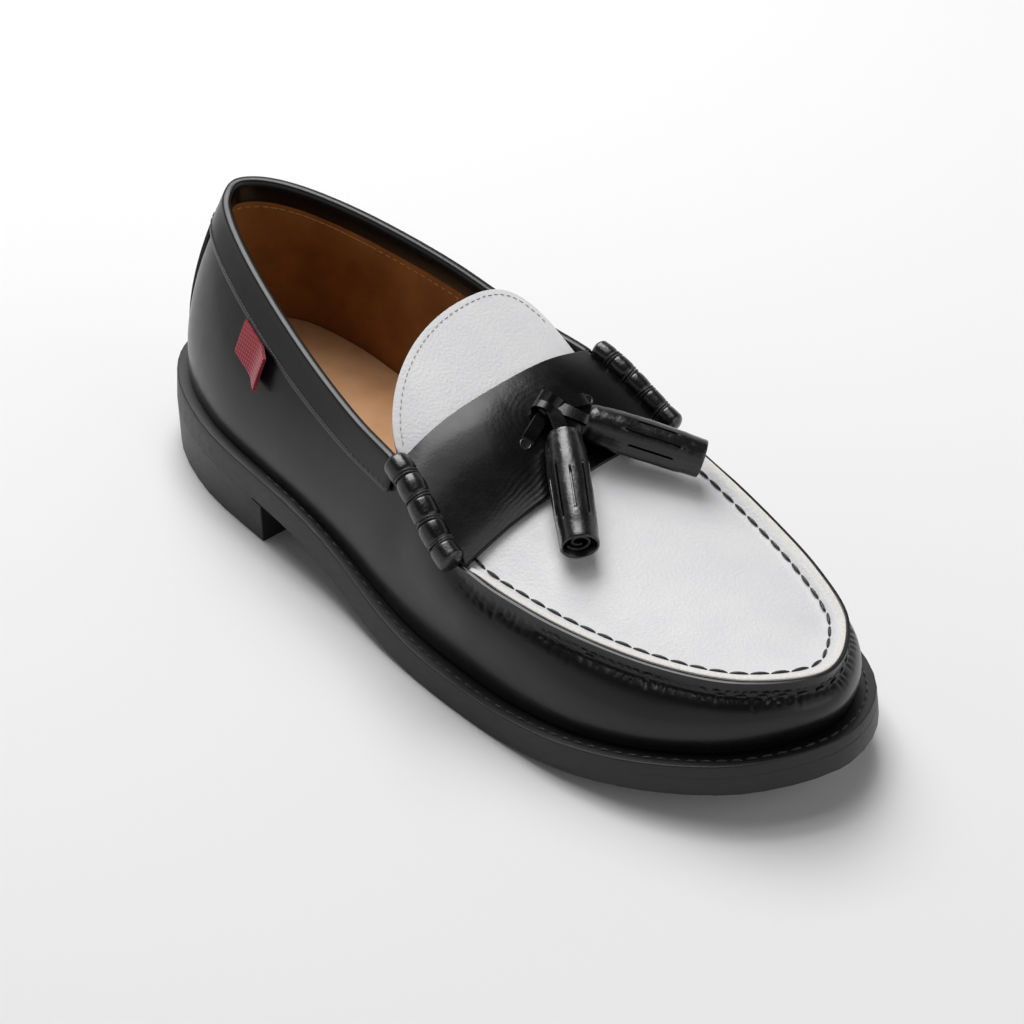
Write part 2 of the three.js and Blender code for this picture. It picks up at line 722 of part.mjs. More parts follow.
function makeLace() {
  const [firstHole, lastHole] = HOLE_PLACES;
  const halfWay = (hole, along) => ({ along, across: mix(hole.across, KNOT_PLACE.across, 0.4) });
  const route = new THREE.CatmullRomCurve3([
    onStrap(firstHole, LACE_END_LIFT),
    onStrap(halfWay(firstHole, KNOT_PLACE.along), LACE_RISE),
    onStrap(KNOT_PLACE, LACE_RISE),
    onStrap(halfWay(lastHole, mix(lastHole.along, KNOT_PLACE.along, 0.5)), LACE_RISE),
    onStrap(lastHole, LACE_END_LIFT),
  ]);
  const rings = steps(16).map((place) => {
    const centre = route.getPoint(place);
    const heading = route.getTangent(place);
    const side = new Vector3().crossVectors(UP, heading).normalize();
    const above = new Vector3().crossVectors(heading, side).normalize();
    const swell = smooth(KNOT_FROM, KNOT_FULL, place) * smooth(1 - KNOT_FROM, 1 - KNOT_FULL, place);
    const half = mix(LACE_WIDTH, KNOT_WIDTH, swell) / 2;
    const thick = mix(LACE_THICKNESS, KNOT_THICKNESS, swell);
    return LACE_SECTION.map(([across, height]) =>
      moved(moved(centre, side, across * half), above, height * thick));
  });
  return skinned(rings);
}

shoe.name = 'tassel_loafer';
addPiece('outsole', makeOutsole(), rubberBlack);
addPiece('heel', makeHeel(), rubberBlack);
addPiece('welt', makeWelt(), rubberBlack);
addPiece('insole', makeInsole(), leatherTan);
addPiece('upper', makeUpper(), leatherBlack);
addPiece('plug', makePlug(), leatherWhite);
addPiece('tongue', makeTongue(), leatherWhite);
addPiece('saddle_strap', makeStrap(), leatherBlack);
addPiece('collar_band', makeBand(), leatherBlack);
addPiece('back_stay', makeStay(), leatherBlack);
addPiece('side_tab', makeTab(), clothRed);
addPiece('roll_outer', makeRoll(false), leatherBlack);
addPiece('roll_inner', makeRoll(true), leatherBlack);
TASSELS.forEach((row) => addPiece(row.name, makeTassel(row), leatherBlack));
addPiece('tassel_lace', makeLace(), leatherBlack);

// The origin goes under the middle of the shoe
const box = new THREE.Box3().setFromObject(shoe);
shoe.position.set(-(box.min.x + box.max.x) / 2, -(box.min.y + box.max.y) / 2, -box.min.z);
shoe.updateMatrixWorld(true);

export default shoe;
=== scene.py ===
# %% [markdown]
# # Dressing a tassel loafer
# The bare solids of this shoe come from its pattern maker. Here each of them becomes leather, thread,
# rubber or woven tape, in the way that a shoemaker would finish it. Every piece starts from the
# solid that it dresses, so that it stays at its place on the last.

# %% Load the shoe
import math

import bmesh
import bpy
from mathutils import Matrix, Vector, noise
from mathutils.bvhtree import BVHTree
from mathutils.kdtree import KDTree


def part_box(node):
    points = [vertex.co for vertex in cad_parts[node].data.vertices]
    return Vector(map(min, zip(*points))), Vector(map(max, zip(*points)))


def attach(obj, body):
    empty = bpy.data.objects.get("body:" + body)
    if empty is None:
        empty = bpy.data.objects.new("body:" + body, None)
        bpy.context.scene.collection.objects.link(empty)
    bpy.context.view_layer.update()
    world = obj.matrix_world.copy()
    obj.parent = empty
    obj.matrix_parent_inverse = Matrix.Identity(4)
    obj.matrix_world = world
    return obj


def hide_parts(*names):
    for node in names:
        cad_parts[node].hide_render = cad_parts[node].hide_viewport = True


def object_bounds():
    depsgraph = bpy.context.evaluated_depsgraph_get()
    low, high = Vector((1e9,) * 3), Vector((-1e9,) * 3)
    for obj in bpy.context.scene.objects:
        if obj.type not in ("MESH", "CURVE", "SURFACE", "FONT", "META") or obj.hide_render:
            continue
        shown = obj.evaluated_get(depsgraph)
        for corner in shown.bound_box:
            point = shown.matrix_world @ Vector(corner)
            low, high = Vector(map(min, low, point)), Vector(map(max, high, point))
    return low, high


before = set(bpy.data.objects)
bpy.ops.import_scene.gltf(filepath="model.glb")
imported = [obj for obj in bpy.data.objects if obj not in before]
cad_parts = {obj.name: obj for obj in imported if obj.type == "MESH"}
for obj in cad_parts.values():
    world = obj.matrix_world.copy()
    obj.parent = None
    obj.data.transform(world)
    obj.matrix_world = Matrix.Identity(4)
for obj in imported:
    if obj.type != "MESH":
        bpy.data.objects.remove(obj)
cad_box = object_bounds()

MM = 0.001
UP = Vector((0, 0, 1))
print("the shoe measures", [round((high - low) / MM) for low, high in zip(*cad_box)], "mm")

# %% [markdown]
# ## The camera
# A catalogue picture of a shoe is taken from high on its outer side with a long lens. The camera's place
# follows from a point on the floor, two angles and a distance, and from there it looks at the middle
# of the shoe with a small roll. The Standard view is chosen because it keeps the darkest leather black,
# where a filmic view lifts it to grey.

# %% The camera
CAMERA_TURN = math.radians(42.525)
CAMERA_RISE = math.radians(35.074)
CAMERA_ROLL = math.radians(3.656)
CAMERA_DISTANCE = 1261.006 * MM
CAMERA_LENS = 128
CAMERA_SENSOR = 36
CAMERA_TARGET = Vector((-21.987, 104.731, 0)) * MM
SHOE_MIDDLE = Vector((2, 3, 30)) * MM

right = Vector((math.cos(CAMERA_TURN), math.sin(CAMERA_TURN), 0))
away = Vector((-math.sin(CAMERA_TURN), math.cos(CAMERA_TURN), 0))
back = (UP * math.sin(CAMERA_RISE) - away * math.cos(CAMERA_RISE)).normalized()

camera_data = bpy.data.cameras.new("camera")
camera_data.lens = CAMERA_LENS
camera_data.sensor_width = CAMERA_SENSOR
camera = bpy.data.objects.new("camera", camera_data)
bpy.context.collection.objects.link(camera)
camera.location = CAMERA_TARGET + back * CAMERA_DISTANCE
sight = (camera.location - SHOE_MIDDLE).normalized()
tilted = right * math.cos(CAMERA_ROLL) + back.cross(right) * math.sin(CAMERA_ROLL)
level = (tilted - sight * tilted.dot(sight)).normalized()
camera.rotation_euler = Matrix((level, sight.cross(level), sight)).transposed().to_euler()
bpy.context.scene.camera = camera
bpy.context.scene.view_settings.view_transform = "Standard"
print("the camera stands", round(camera.location.z / MM), "mm above the floor")

# %% Picking one piece at a time
def deselect():
    if bpy.context.object and bpy.context.object.mode != "OBJECT":
        bpy.ops.object.mode_set(mode="OBJECT")
    bpy.ops.object.select_all(action="DESELECT")


def pick(piece):
    deselect()
    piece.select_set(True)
    bpy.context.view_layer.objects.active = piece


# %% [markdown]
# ## The floor and the lights
# The shoe stands on matte white paper that has no edge. The main light is large and soft and stands
# behind the shoe, because light that comes over the leather towards the lens draws long soft
# highlights. A wider one hangs overhead, and a weak one ahead of the toe opens the shadow there.

# %% A sheet of pale paper
PAPER_SIZE = 8
PAPER_WHITE = (0.82, 0.82, 0.82, 1)
PAPER_ROUGHNESS = 0.9
deselect()
bpy.ops.mesh.primitive_plane_add(size=PAPER_SIZE)
paper = bpy.context.object
paper.name = "paper_floor"
sheet = bpy.data.materials.new("matte_white_paper")
sheet.use_nodes = True
paper_shader = sheet.node_tree.nodes["Principled BSDF"]
paper_shader.inputs["Base Color"].default_value = PAPER_WHITE
paper_shader.inputs["Roughness"].default_value = PAPER_ROUGHNESS
paper.data.materials.append(sheet)

# %% Three soft lights: metres away from the lens, to its right and up, then size and power in watts
AIM = Vector((0.02, 0, 0.05))
LIGHTS = [
    ("key", 0.75, -0.35, 1.3, 1.0, 19.5),
    ("overhead", 0.35, -0.25, 1.6, 1.3, 9.5),
    ("fill", -0.5, 0.9, 0.5, 1.0, 2.0),
]
for name, behind, beside, above, size, power in LIGHTS:
    from_aim = away * behind + right * beside + UP * above
    deselect()
    bpy.ops.object.light_add(type="AREA", location=AIM + from_aim)
    light = bpy.context.object
    light.name = name
    light.data.size = size
    light.data.energy = power
    light.rotation_euler = from_aim.to_track_quat("Z", "Y").to_euler()
print("lights:", ", ".join(light[0] for light in LIGHTS))

# %% [markdown]
# ## Colours and nodes
# Colours are written as the sRGB hex values of a picture, and Blender works with linear light, so one
# function turns one into the other. Another small function adds a node to a material with its settings
# and its links, because a leather is a chain of ten of them.

# %% Colours and nodes
def linear(code):
    """The linear colour of an sRGB hex value."""
    channels = [int(code[place:place + 2], 16) / 255 for place in (1, 3, 5)]
    return [c / 12.92 if c < 0.04045 else ((c + 0.055) / 1.055) ** 2.4 for c in channels] + [1.0]


def add_node(tree, kind, values=None, links=None, stops=(), **settings):
    """A node with its settings, its sockets' values, the links into them and any ramp's colour stops."""
    node = tree.nodes.new("ShaderNode" + kind)
    for name, value in settings.items():
        setattr(node, name, value)
    for name, value in (values or {}).items():
        node.inputs[name].default_value = value
    for name, source in (links or {}).items():
        tree.links.new(source, node.inputs[name])
    for number, (position, code) in enumerate(stops):
        node.color_ramp.elements[number].position = position
        node.color_ramp.elements[number].color = linear(code)
    return node


def new_material(name, roughness, **values):
    """A material with its shader and object coordinates; returns material, tree, shader, place."""
    material = bpy.data.materials.new(name)
    material.use_nodes = True
    tree = material.node_tree
    shader = tree.nodes["Principled BSDF"]
    shader.inputs["Roughness"].default_value = roughness
    for socket, value in values.items():
        shader.inputs[socket.replace("_", " ")].default_value = value
    place = add_node(tree, "TexCoord").outputs["Object"]
    return material, tree, shader, place


def per_metre(size):
    """The texture scale that repeats once in a size."""
    return 1 / size


def wave_scale(period):
    """The scale of a Wave texture for a period; its bands repeat every 2 pi / 20 at scale one."""
    return 2 * math.pi / 20 / period


# %% [markdown]
# ## The studio world
# The walls of the room are white and its ceiling is dark. Black leather shows little of its own
# colour and much of the room, so the steep sides of the shoe, which mirror walls and paper, go
# charcoal grey, and the strap, which mirrors the ceiling, goes nearly black between two highlights.

# %% The studio world
ROOM_WALLS = "#dcdcdc"
ROOM_CEILING = "#444444"
WALLS_END = 0.3
CEILING_STARTS = 0.62
ROOM_STRENGTH = 0.84
world = bpy.data.worlds.new("studio")
bpy.context.scene.world = world
world.use_nodes = True
world_tree = world.node_tree
sky = world_tree.nodes["Background"]
direction = add_node(world_tree, "TexCoord").outputs["Generated"]
height = add_node(world_tree, "SeparateXYZ", links={"Vector": direction})
room = add_node(world_tree, "ValToRGB", links={"Fac": height.outputs["Z"]},
                stops=[(WALLS_END, ROOM_WALLS), (CEILING_STARTS, ROOM_CEILING)])
world_tree.links.new(room.outputs["Color"], sky.inputs["Color"])
sky.inputs["Strength"].default_value = ROOM_STRENGTH

# %% [markdown]
# ## Leathers
# Box calf is polished smooth, so its grain hardly shows and its gloss comes from a thin finish that
# breaks up a little. White leather has a fine pebble of about a millimetre. Lining leather is left
# natural, matte and uneven in colour. A photograph of each could be wrapped round the piece, but nodes
# need no seams: a colour that varies, a roughness that varies and a bump of two sizes, with the scale
# of each pattern worked out from millimetres.

# %% One function for all leathers
def leather(name, light, dark, roughness, uneven, pebble, depth, wave, **values):
    """Leather whose pebble has a size and a depth, and whose surface waves by a depth over 9 mm."""
    material, tree, shader, place = new_material(name, roughness, **values)
    blotch = add_node(tree, "TexNoise", {"Scale": per_metre(14 * MM), "Detail": 4}, {"Vector": place})
    tone = add_node(tree, "ValToRGB", links={"Fac": blotch.outputs["Fac"]}, stops=[(0.3, dark), (0.7, light)])
    tree.links.new(tone.outputs["Color"], shader.inputs["Base Color"])
    haze = add_node(tree, "TexNoise", {"Scale": per_metre(5 * MM), "Detail": 6}, {"Vector": place})
    gloss = add_node(tree, "MapRange", {"To Min": roughness - uneven, "To Max": roughness + uneven},
                     {"Value": haze.outputs["Fac"]})
    tree.links.new(gloss.outputs["Result"], shader.inputs["Roughness"])
    cells = add_node(tree, "TexVoronoi", {"Scale": per_metre(pebble), "Randomness": 1.0},
                     {"Vector": place}, feature="SMOOTH_F1")
    grain = add_node(tree, "Bump", {"Distance": depth, "Strength": 0.7},
                     {"Height": cells.outputs["Distance"]}, invert=True)
    swell = add_node(tree, "TexNoise", {"Scale": per_metre(9 * MM), "Detail": 2}, {"Vector": place})
    skin = add_node(tree, "Bump", {"Distance": wave, "Strength": 0.6},
                    {"Height": swell.outputs["Fac"], "Normal": grain.outputs["Normal"]})
    tree.links.new(skin.outputs["Normal"], shader.inputs["Normal"])
    return material


# Polished box calf: deep black, soft wide highlights and hardly any grain
BLACK_CALF = leather("black_box_calf", "#0b0b0c", "#070708", 0.32, 0.06, 0.7 * MM, 0.02 * MM,
                     0.12 * MM, IOR=1.42, Coat_Weight=0.12, Coat_Roughness=0.12)
# Oiled calf of the strap: darker and smoother, with highlights that run along its bends
BLACK_STRAP = leather("black_strap_calf", "#0b0909", "#060505", 0.26, 0.07, 0.8 * MM, 0.03 * MM,
                      0.16 * MM, IOR=1.34, Coat_Weight=0.08, Coat_Roughness=0.1)
# Glazed leather of rolls and tassels: a hard finish with small broken highlights
BLACK_GLAZED = leather("black_glazed_leather", "#0d0d0f", "#070708", 0.3, 0.12, 0.9 * MM,
                       0.12 * MM, 0.6 * MM, IOR=1.48, Coat_Weight=0.5, Coat_Roughness=0.2)
# White pebbled calf: satin, with a pebble that shows where light grazes it
WHITE_CALF = leather("white_pebbled_calf", "#dadadb", "#d4d4d6", 0.5, 0.05, 0.9 * MM, 0.17 * MM,
                     0.05 * MM, IOR=1.48)
# Lining and sock are left natural: matte, warm and uneven, the sock paler
TAN_LINING = leather("tan_lining_leather", "#a56a32", "#8a5322", 0.6, 0.08, 0.9 * MM, 0.04 * MM,
                     0.1 * MM, IOR=1.45)
NATURAL_SOCK = leather("natural_sock_leather", "#cf9f74", "#c08d60", 0.55, 0.08, 0.8 * MM,
                       0.04 * MM, 0.15 * MM, IOR=1.45)

# %% [markdown]
# ## Edge leather, sole, thread and tape
# Cut leather shows pale fibres at its edge, matte and slightly cream. The sole is waxed and burnished
# black, dull, with fine scratches along the edge. Waxed linen thread has a slight shine, and its plies
# break the light. The tape is woven from fine red yarn, drawn coarser than it is, at 1.1 mm, so that it
# still shows.

# %% Cut leather edge
def cut_edge(name, light, dark):
    material, tree, shader, place = new_material(name, 0.75, IOR=1.45)
    fibres = add_node(tree, "TexNoise", {"Scale": per_metre(0.6 * MM), "Detail": 5}, {"Vector": place})
    tone = add_node(tree, "ValToRGB", links={"Fac": fibres.outputs["Fac"]},
                    stops=[(0.35, dark), (0.65, light)])
    tree.links.new(tone.outputs["Color"], shader.inputs["Base Color"])
    rough = add_node(tree, "Bump", {"Distance": 0.08 * MM, "Strength": 0.5},
                     {"Height": fibres.outputs["Fac"]})
    tree.links.new(rough.outputs["Normal"], shader.inputs["Normal"])
    return material


PALE_EDGE = cut_edge("cut_white_leather", "#e4e2de", "#d2cfc8")


# %% Sole edge, thread and tape
def burnished(name, colour, roughness, scratch, depth):
    """A dull black with fine scratches that run along the shoe."""
    material, tree, shader, place = new_material(name, roughness, IOR=1.5)
    shader.inputs["Base Color"].default_value = linear(colour)
    along = add_node(tree, "Mapping", {"Scale": (0.15, 1, 1)}, {"Vector": place})
    lines = add_node(tree, "TexNoise", {"Scale": per_metre(scratch), "Detail": 6},
                     {"Vector": along.outputs["Vector"]})
    gloss = add_node(tree, "MapRange", {"To Min": roughness - 0.1, "To Max": roughness + 0.12},
                     {"Value": lines.outputs["Fac"]})
    tree.links.new(gloss.outputs["Result"], shader.inputs["Roughness"])
    rough = add_node(tree, "Bump", {"Distance": depth, "Strength": 0.5},
                     {"Height": lines.outputs["Fac"]})
    tree.links.new(rough.outputs["Normal"], shader.inputs["Normal"])
    return material


def waxed_thread(name, colour):
    """Thread whose plies turn round it about twice a millimetre."""
    material, tree, shader, place = new_material(name, 0.42, IOR=1.5, Sheen_Weight=0.15)
    shader.inputs["Base Color"].default_value = linear(colour)
    plies = add_node(tree, "TexWave", {"Scale": wave_scale(0.9 * MM), "Distortion": 1.5},
                     {"Vector": place}, bands_direction="DIAGONAL")
    twist = add_node(tree, "Bump", {"Distance": 0.08 * MM, "Strength": 0.5},
                     {"Height": plies.outputs["Fac"]})
    tree.links.new(twist.outputs["Normal"], shader.inputs["Normal"])
    return material


def woven_tape(name, light, dark, yarn):
    """Plain weave: two sets of waves that cross, on the tape's own two directions."""
    material, tree, shader, place = new_material(name, 0.85, IOR=1.45, Sheen_Weight=0.3)
    warp = add_node(tree, "TexWave", {"Scale": wave_scale(yarn), "Distortion": 0.4},
                    {"Vector": place}, bands_direction="X")
    weft = add_node(tree, "TexWave", {"Scale": wave_scale(yarn), "Distortion": 0.4},
                    {"Vector": place}, bands_direction="Z")
    cross = add_node(tree, "Math", links={0: warp.outputs["Fac"], 1: weft.outputs["Fac"]},
                     operation="MULTIPLY")
    tone = add_node(tree, "ValToRGB", links={"Fac": cross.outputs["Value"]},
                    stops=[(0.0, dark), (0.6, light)])
    tree.links.new(tone.outputs["Color"], shader.inputs["Base Color"])
    weave = add_node(tree, "Bump", {"Distance": 0.15 * MM, "Strength": 0.8},
                     {"Height": cross.outputs["Value"]})
    tree.links.new(weave.outputs["Normal"], shader.inputs["Normal"])
    return material


BLACK_SOLE = burnished("burnished_black_sole", "#0b0b0b", 0.48, 0.8 * MM, 0.05 * MM)
BLACK_THREAD = waxed_thread("black_waxed_thread", "#111113")
GREY_THREAD = waxed_thread("grey_linen_thread", "#a9a7a2")
TAN_THREAD = waxed_thread("tan_linen_thread", "#c99a5e")
RED_TAPE = woven_tape("red_woven_tape", "#ab2236", "#761222", 1.1 * MM)
print("materials:", ", ".join(sorted(material.name for material in bpy.data.materials)))

# %% [markdown]
# ## Taking a piece off the last
# Each solid comes as loose triangles. A copy of it is merged and its triangles are paired into quads,
# because Subdivision Surface draws a smooth leather only over quads. Its sharp edges are creased first,
# so that cut edges stay crisp while everything between them turns round.

# %% A working copy of a solid
def take_copy(node, name, quads=True):
    """A merged copy of a solid; a sole keeps its triangles, because nothing on it is subdivided."""
    deselect()
    piece = bpy.data.objects.new(name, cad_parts[node].data.copy())
    bpy.context.collection.objects.link(piece)
    piece.data.materials.clear()
    pick(piece)
    bpy.ops.object.mode_set(mode="EDIT")
    bpy.ops.mesh.select_all(action="SELECT")
    bpy.ops.mesh.remove_doubles(threshold=0.01 * MM)
    if quads:
        bpy.ops.mesh.tris_convert_to_quads(face_threshold=math.pi, shape_threshold=math.pi)
    bpy.ops.object.mode_set(mode="OBJECT")
    return piece


def apply(piece, kind, **settings):
    """Adds a modifier and applies it."""
    modifier = piece.modifiers.new(kind.lower(), kind)
    for name, value in settings.items():
        setattr(modifier, name, value)
    pick(piece)
    bpy.ops.object.modifier_apply(modifier=modifier.name)


def edit(piece, change):
    """Runs a function over the points, edges or faces of a piece's mesh."""
    mesh = bmesh.new()
    mesh.from_mesh(piece.data)
    mesh.normal_update()
    change(mesh)
    mesh.to_mesh(piece.data)
    mesh.free()


def turns_over(edge, angle):
    """Whether an edge joins two faces that meet at more than an angle in degrees."""
    return len(edge.link_faces) == 2 and edge.calc_face_angle() > math.radians(angle)


def smooth_over(piece, levels, angle, amount):
    """Creases the edges over an angle by an amount, and subdivides the piece."""
    def crease(mesh):
        layers = mesh.edges.layers.float
        layer = layers.get("crease_edge") or layers.new("crease_edge")
        for edge in mesh.edges:
            if turns_over(edge, angle):
                edge[layer] = amount

    edit(piece, crease)
    apply(piece, "SUBSURF", levels=levels, render_levels=levels)


def dress(piece, material, slot, *nodes, angle=40):
    """The last steps for a piece: shading, material, its place in the frame, and hiding the solids that it
    replaces.
    """
    def sharpen(mesh):
        """Smoothing by angle misses some edges that turn by over 90 degrees, so they are marked here."""
        for edge in mesh.edges:
            if turns_over(edge, angle):
                edge.smooth = False

    pick(piece)
    bpy.ops.object.shade_smooth_by_angle(angle=math.radians(angle))
    edit(piece, sharpen)
    if not piece.data.materials:
        piece.data.materials.append(material)
    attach(piece, "root")
    if nodes:
        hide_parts(*nodes)
    print(f"{piece.name}: {len(piece.data.polygons)} faces")


# %% Lines along a piece's edges
def edge_lines(piece, test):
    """The edges that pass a test, chained into lines of points, the longest first."""
    mesh = bmesh.new()
    mesh.from_mesh(piece.data)
    links = {}
    for edge in mesh.edges:
        if len(edge.link_faces) == 2 and test(edge):
            first, last = edge.verts
            links.setdefault(first.index, []).append(last.index)
            links.setdefault(last.index, []).append(first.index)
    places = [vertex.co.copy() for vertex in mesh.verts]
    mesh.free()
    seen = set()
    lines = []
    for start in sorted(links, key=lambda index: len(links[index]) == 2):
        if start in seen:
            continue
        chain = [start]
        seen.add(start)
        while True:
            onward = [index for index in links[chain[-1]] if index not in seen]
            if not onward:
                break
            chain.append(onward[0])
            seen.add(onward[0])
        if len(chain) > 2 and chain[0] in links[chain[-1]]:
            chain.append(chain[0])
        lines.append([places[index] for index in chain])
    return sorted(lines, key=len, reverse=True)


def hollow_edge(angle):
    return lambda edge: edge.calc_face_angle_signed() < -math.radians(angle)


def outer_edge(angle):
    return lambda edge: edge.calc_face_angle_signed() > math.radians(angle)


def walk(line, step):
    """Points at even steps along a line, each with its heading."""
    stops = []
    left = 0.0
    for start, end in zip(line, line[1:]):
        span = (end - start).length
        if span == 0:
            continue
        heading = (end - start) / span
        while left <= span:
            stops.append((start + heading * left, heading))
            left += step
        left -= span
    return stops


def surface(piece):
    return BVHTree.FromObject(piece, bpy.context.evaluated_depsgraph_get())


# %% [markdown]
# ## Thread
# A stitch is a grain of thread that dips into the leather at both ends. A bump could draw it, but a real
# grain throws a shadow. One is modelled from a small sphere, pulled long, and copied along a line into
# one joined mesh. Each copy is laid on the leather by the nearest point of its surface.

# %% A grain of thread and rows of it
def new_piece(name, points, faces):
    mesh = bpy.data.meshes.new(name)
    mesh.from_pydata(points, [], faces)
    piece = bpy.data.objects.new(name, mesh)
    bpy.context.collection.objects.link(piece)
    return piece


deselect()
bpy.ops.mesh.primitive_uv_sphere_add(segments=8, ring_count=6, radius=1)
bpy.ops.transform.resize(value=(0.5, 1, 1))
bpy.ops.object.transform_apply(location=False, rotation=False, scale=True)
grain = bpy.context.object
GRAIN_POINTS = [vertex.co.copy() for vertex in grain.data.vertices]
GRAIN_FACES = [tuple(face.vertices) for face in grain.data.polygons]
bpy.data.objects.remove(grain)


def thread_grains(name, places, thick):
    """One mesh of grains; each place is a centre, a heading, an upright and a length."""
    points = []
    faces = []
    for centre, heading, upright, length in places:
        side = upright.cross(heading).normalized()
        over = heading.cross(side).normalized()
        first = len(points)
        for grain_point in GRAIN_POINTS:
            bow = 1 - (2 * grain_point.x) ** 2
            points.append(centre + heading * grain_point.x * length
                          + side * grain_point.y * thick / 2
                          + over * (grain_point.z * thick / 2 + bow * thick * 0.2))
        faces += [tuple(first + index for index in face) for face in GRAIN_FACES]
    return new_piece(name, points, faces)


# Stitches in mm: how far apart they start, how long each is and how thick its thread
STITCHES = {
    "welt": (4.6, 3.4, 0.8),
    "apron": (6.2, 6.0, 1.15),
    "vamp": (6.2, 3.8, 0.9),
    "tongue": (2.4, 1.7, 0.4),
    "collar": (2.9, 2.0, 0.45),
    "lining": (2.9, 2.0, 0.4),
    "stay": (2.6, 1.9, 0.4),
}


def stitch_row(name, line, leather_surface, kind, material, slot, keep=None):
    """Stitches of a kind along a line that lies near a leather's surface."""
    pitch, length, thick = (size * MM for size in STITCHES[kind])
    places = []
    for point, heading in walk(line, pitch):
        near, normal, face, distance = leather_surface.find_nearest(point)
        if keep and not keep(near):
            continue
        flat = (heading - normal * heading.dot(normal)).normalized()
        places.append((near + normal * thick * 0.1, flat, normal, length))
    dress(thread_grains(name, places, thick), material, slot)


# %% [markdown]
# ## The sole
# Outsole, welt and heel are glued up, trimmed together and burnished, so they read as one black band
# with hardly a line between them. One joined block could stand for the three, but each keeps its name as
# a piece: the copies are drawn out over the gap that the solids keep, their edges are rounded by a
# bevel, and the welt gets the row of stitches that holds the shoe together.

# %% Outsole, welt and heel
GLUE_GAP = 0.3 * MM
EDGE_ROUND = 0.5 * MM
SOLE_ROUND = 0.8 * MM
SOLE_ANGLE = 32


def borders(item, up):
    """Whether a point or an edge borders a face that looks up, for 1, or down, for -1."""
    return any(face.normal.z * up > 0.7 for face in item.link_faces)


def close_gap(piece, up):
    """Moves the points of the upper or the lower face over the gap to the next layer."""
    def stretch(mesh):
        for vertex in mesh.verts:
            if borders(vertex, up):
                vertex.co.z += GLUE_GAP * up

    edit(piece, stretch)


def round_edges(piece, width, segments, test):
    """Bevels the outer edges that pass a test, and leaves those of a glued joint sharp."""
    pick(piece)
    bpy.ops.object.mode_set(mode="EDIT")
    bpy.ops.mesh.select_mode(type="EDGE")
    bpy.ops.mesh.select_all(action="DESELECT")
    mesh = bmesh.from_edit_mesh(piece.data)
    for edge in mesh.edges:
        edge.select = turns_over(edge, 50) and test(edge)
    bmesh.update_edit_mesh(piece.data)
    bpy.ops.mesh.bevel(offset=width, segments=segments)
    bpy.ops.object.mode_set(mode="OBJECT")


outsole = take_copy("outsole", "outsole_leather", quads=False)
HEEL_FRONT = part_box("heel")[1].x
round_edges(outsole, SOLE_ROUND, 3,
            lambda edge: borders(edge, -1) and max(vertex.co.x for vertex in edge.verts) > HEEL_FRONT)
dress(outsole, BLACK_SOLE, "sole_black", "outsole", angle=SOLE_ANGLE)

heel = take_copy("heel", "heel_block", quads=False)
close_gap(heel, 1)
round_edges(heel, EDGE_ROUND, 3, lambda edge: not borders(edge, 1))
dress(heel, BLACK_SOLE, "sole_black", "heel", angle=SOLE_ANGLE)

WELT_ROW = 3 * MM
WELT_REACH = 140 * MM
welt = take_copy("welt", "welt_strip", quads=False)
close_gap(welt, -1)
welt_edges = [line for line in edge_lines(welt, outer_edge(60))
              if max(point.x for point in line) > WELT_REACH]
welt_rim = max(welt_edges[:2], key=lambda line: sum(point.z for point in line) / len(line))
round_edges(welt, EDGE_ROUND, 3, lambda edge: not borders(edge, -1))
dress(welt, BLACK_SOLE, "sole_black", "welt", angle=SOLE_ANGLE)


def inner_row(line, inset, upright=UP):
    """A closed outline moved towards its middle by a distance."""
    middle = sum(line, Vector()) / len(line)
    row = []
    for before, point, after in zip([line[-2]] + line, line, line[1:] + [line[1]]):
        inward = (after - before).cross(upright).normalized()
        if inward.dot(middle - point) < 0:
            inward = -inward
        row.append(point + inward * inset)
    return row


stitch_row("welt_thread", inner_row(welt_rim, WELT_ROW), surface(welt), "welt", BLACK_THREAD,
           "sole_black", keep=lambda point: point.x > HEEL_FRONT)

# %% [markdown]
# ## The inside
# The sock lies on the insole and is natural leather, left bare. It could be a thin sheet of its own, but
# the solid already has its outline, so a copy of it with its cut edge rounded by a bevel is enough.

# %% Sock
SOCK_ROUND = 1.2 * MM
sock = take_copy("insole", "sock_leather")
apply(sock, "BEVEL", width=SOCK_ROUND, segments=3, limit_method="ANGLE", angle_limit=math.radians(50))
dress(sock, NATURAL_SOCK, "tan_leather", "insole")

# %% [markdown]
# ## The raised seam
# On a moccasin the apron and the vamp stand up edge to edge and are sewn through by hand. Apron
# leather is pulled over the top, so the seam shows as a white band that leans outwards with a black
# edge below it. The solids have both halves of the seam standing straight; here the points of the
# white half are drawn inwards at its foot and outwards at its crest, and the black half is lowered.

# %% Measuring from a guide line
def smooth(low, high, value):
    """A soft step from 0 to 1 between two values."""
    share = min(max((value - low) / (high - low), 0), 1)
    return share * share * (3 - 2 * share)


class Guide:
    """A line walked at even steps, to find the nearest place on it and the way out from it."""

    def __init__(self, line, step=0.5 * MM):
        self.step = step
        self.stops = walk(line, step)
        self.middle = sum((point for point, heading in self.stops), Vector()) / len(self.stops)
        self.tree = KDTree(len(self.stops))
        for index, (point, heading) in enumerate(self.stops):
            self.tree.insert(point, index)
        self.tree.balance()

    def measure(self, point):
        """How far a point lies outwards, upwards and along the line, and the outward direction."""
        near, index, distance = self.tree.find(point)
        outward = self.stops[index][1].cross(UP).normalized()
        if outward.dot(near - self.middle) < 0:
            outward = -outward
        offset = point - near
        return offset.dot(outward), offset.z, index * self.step, outward


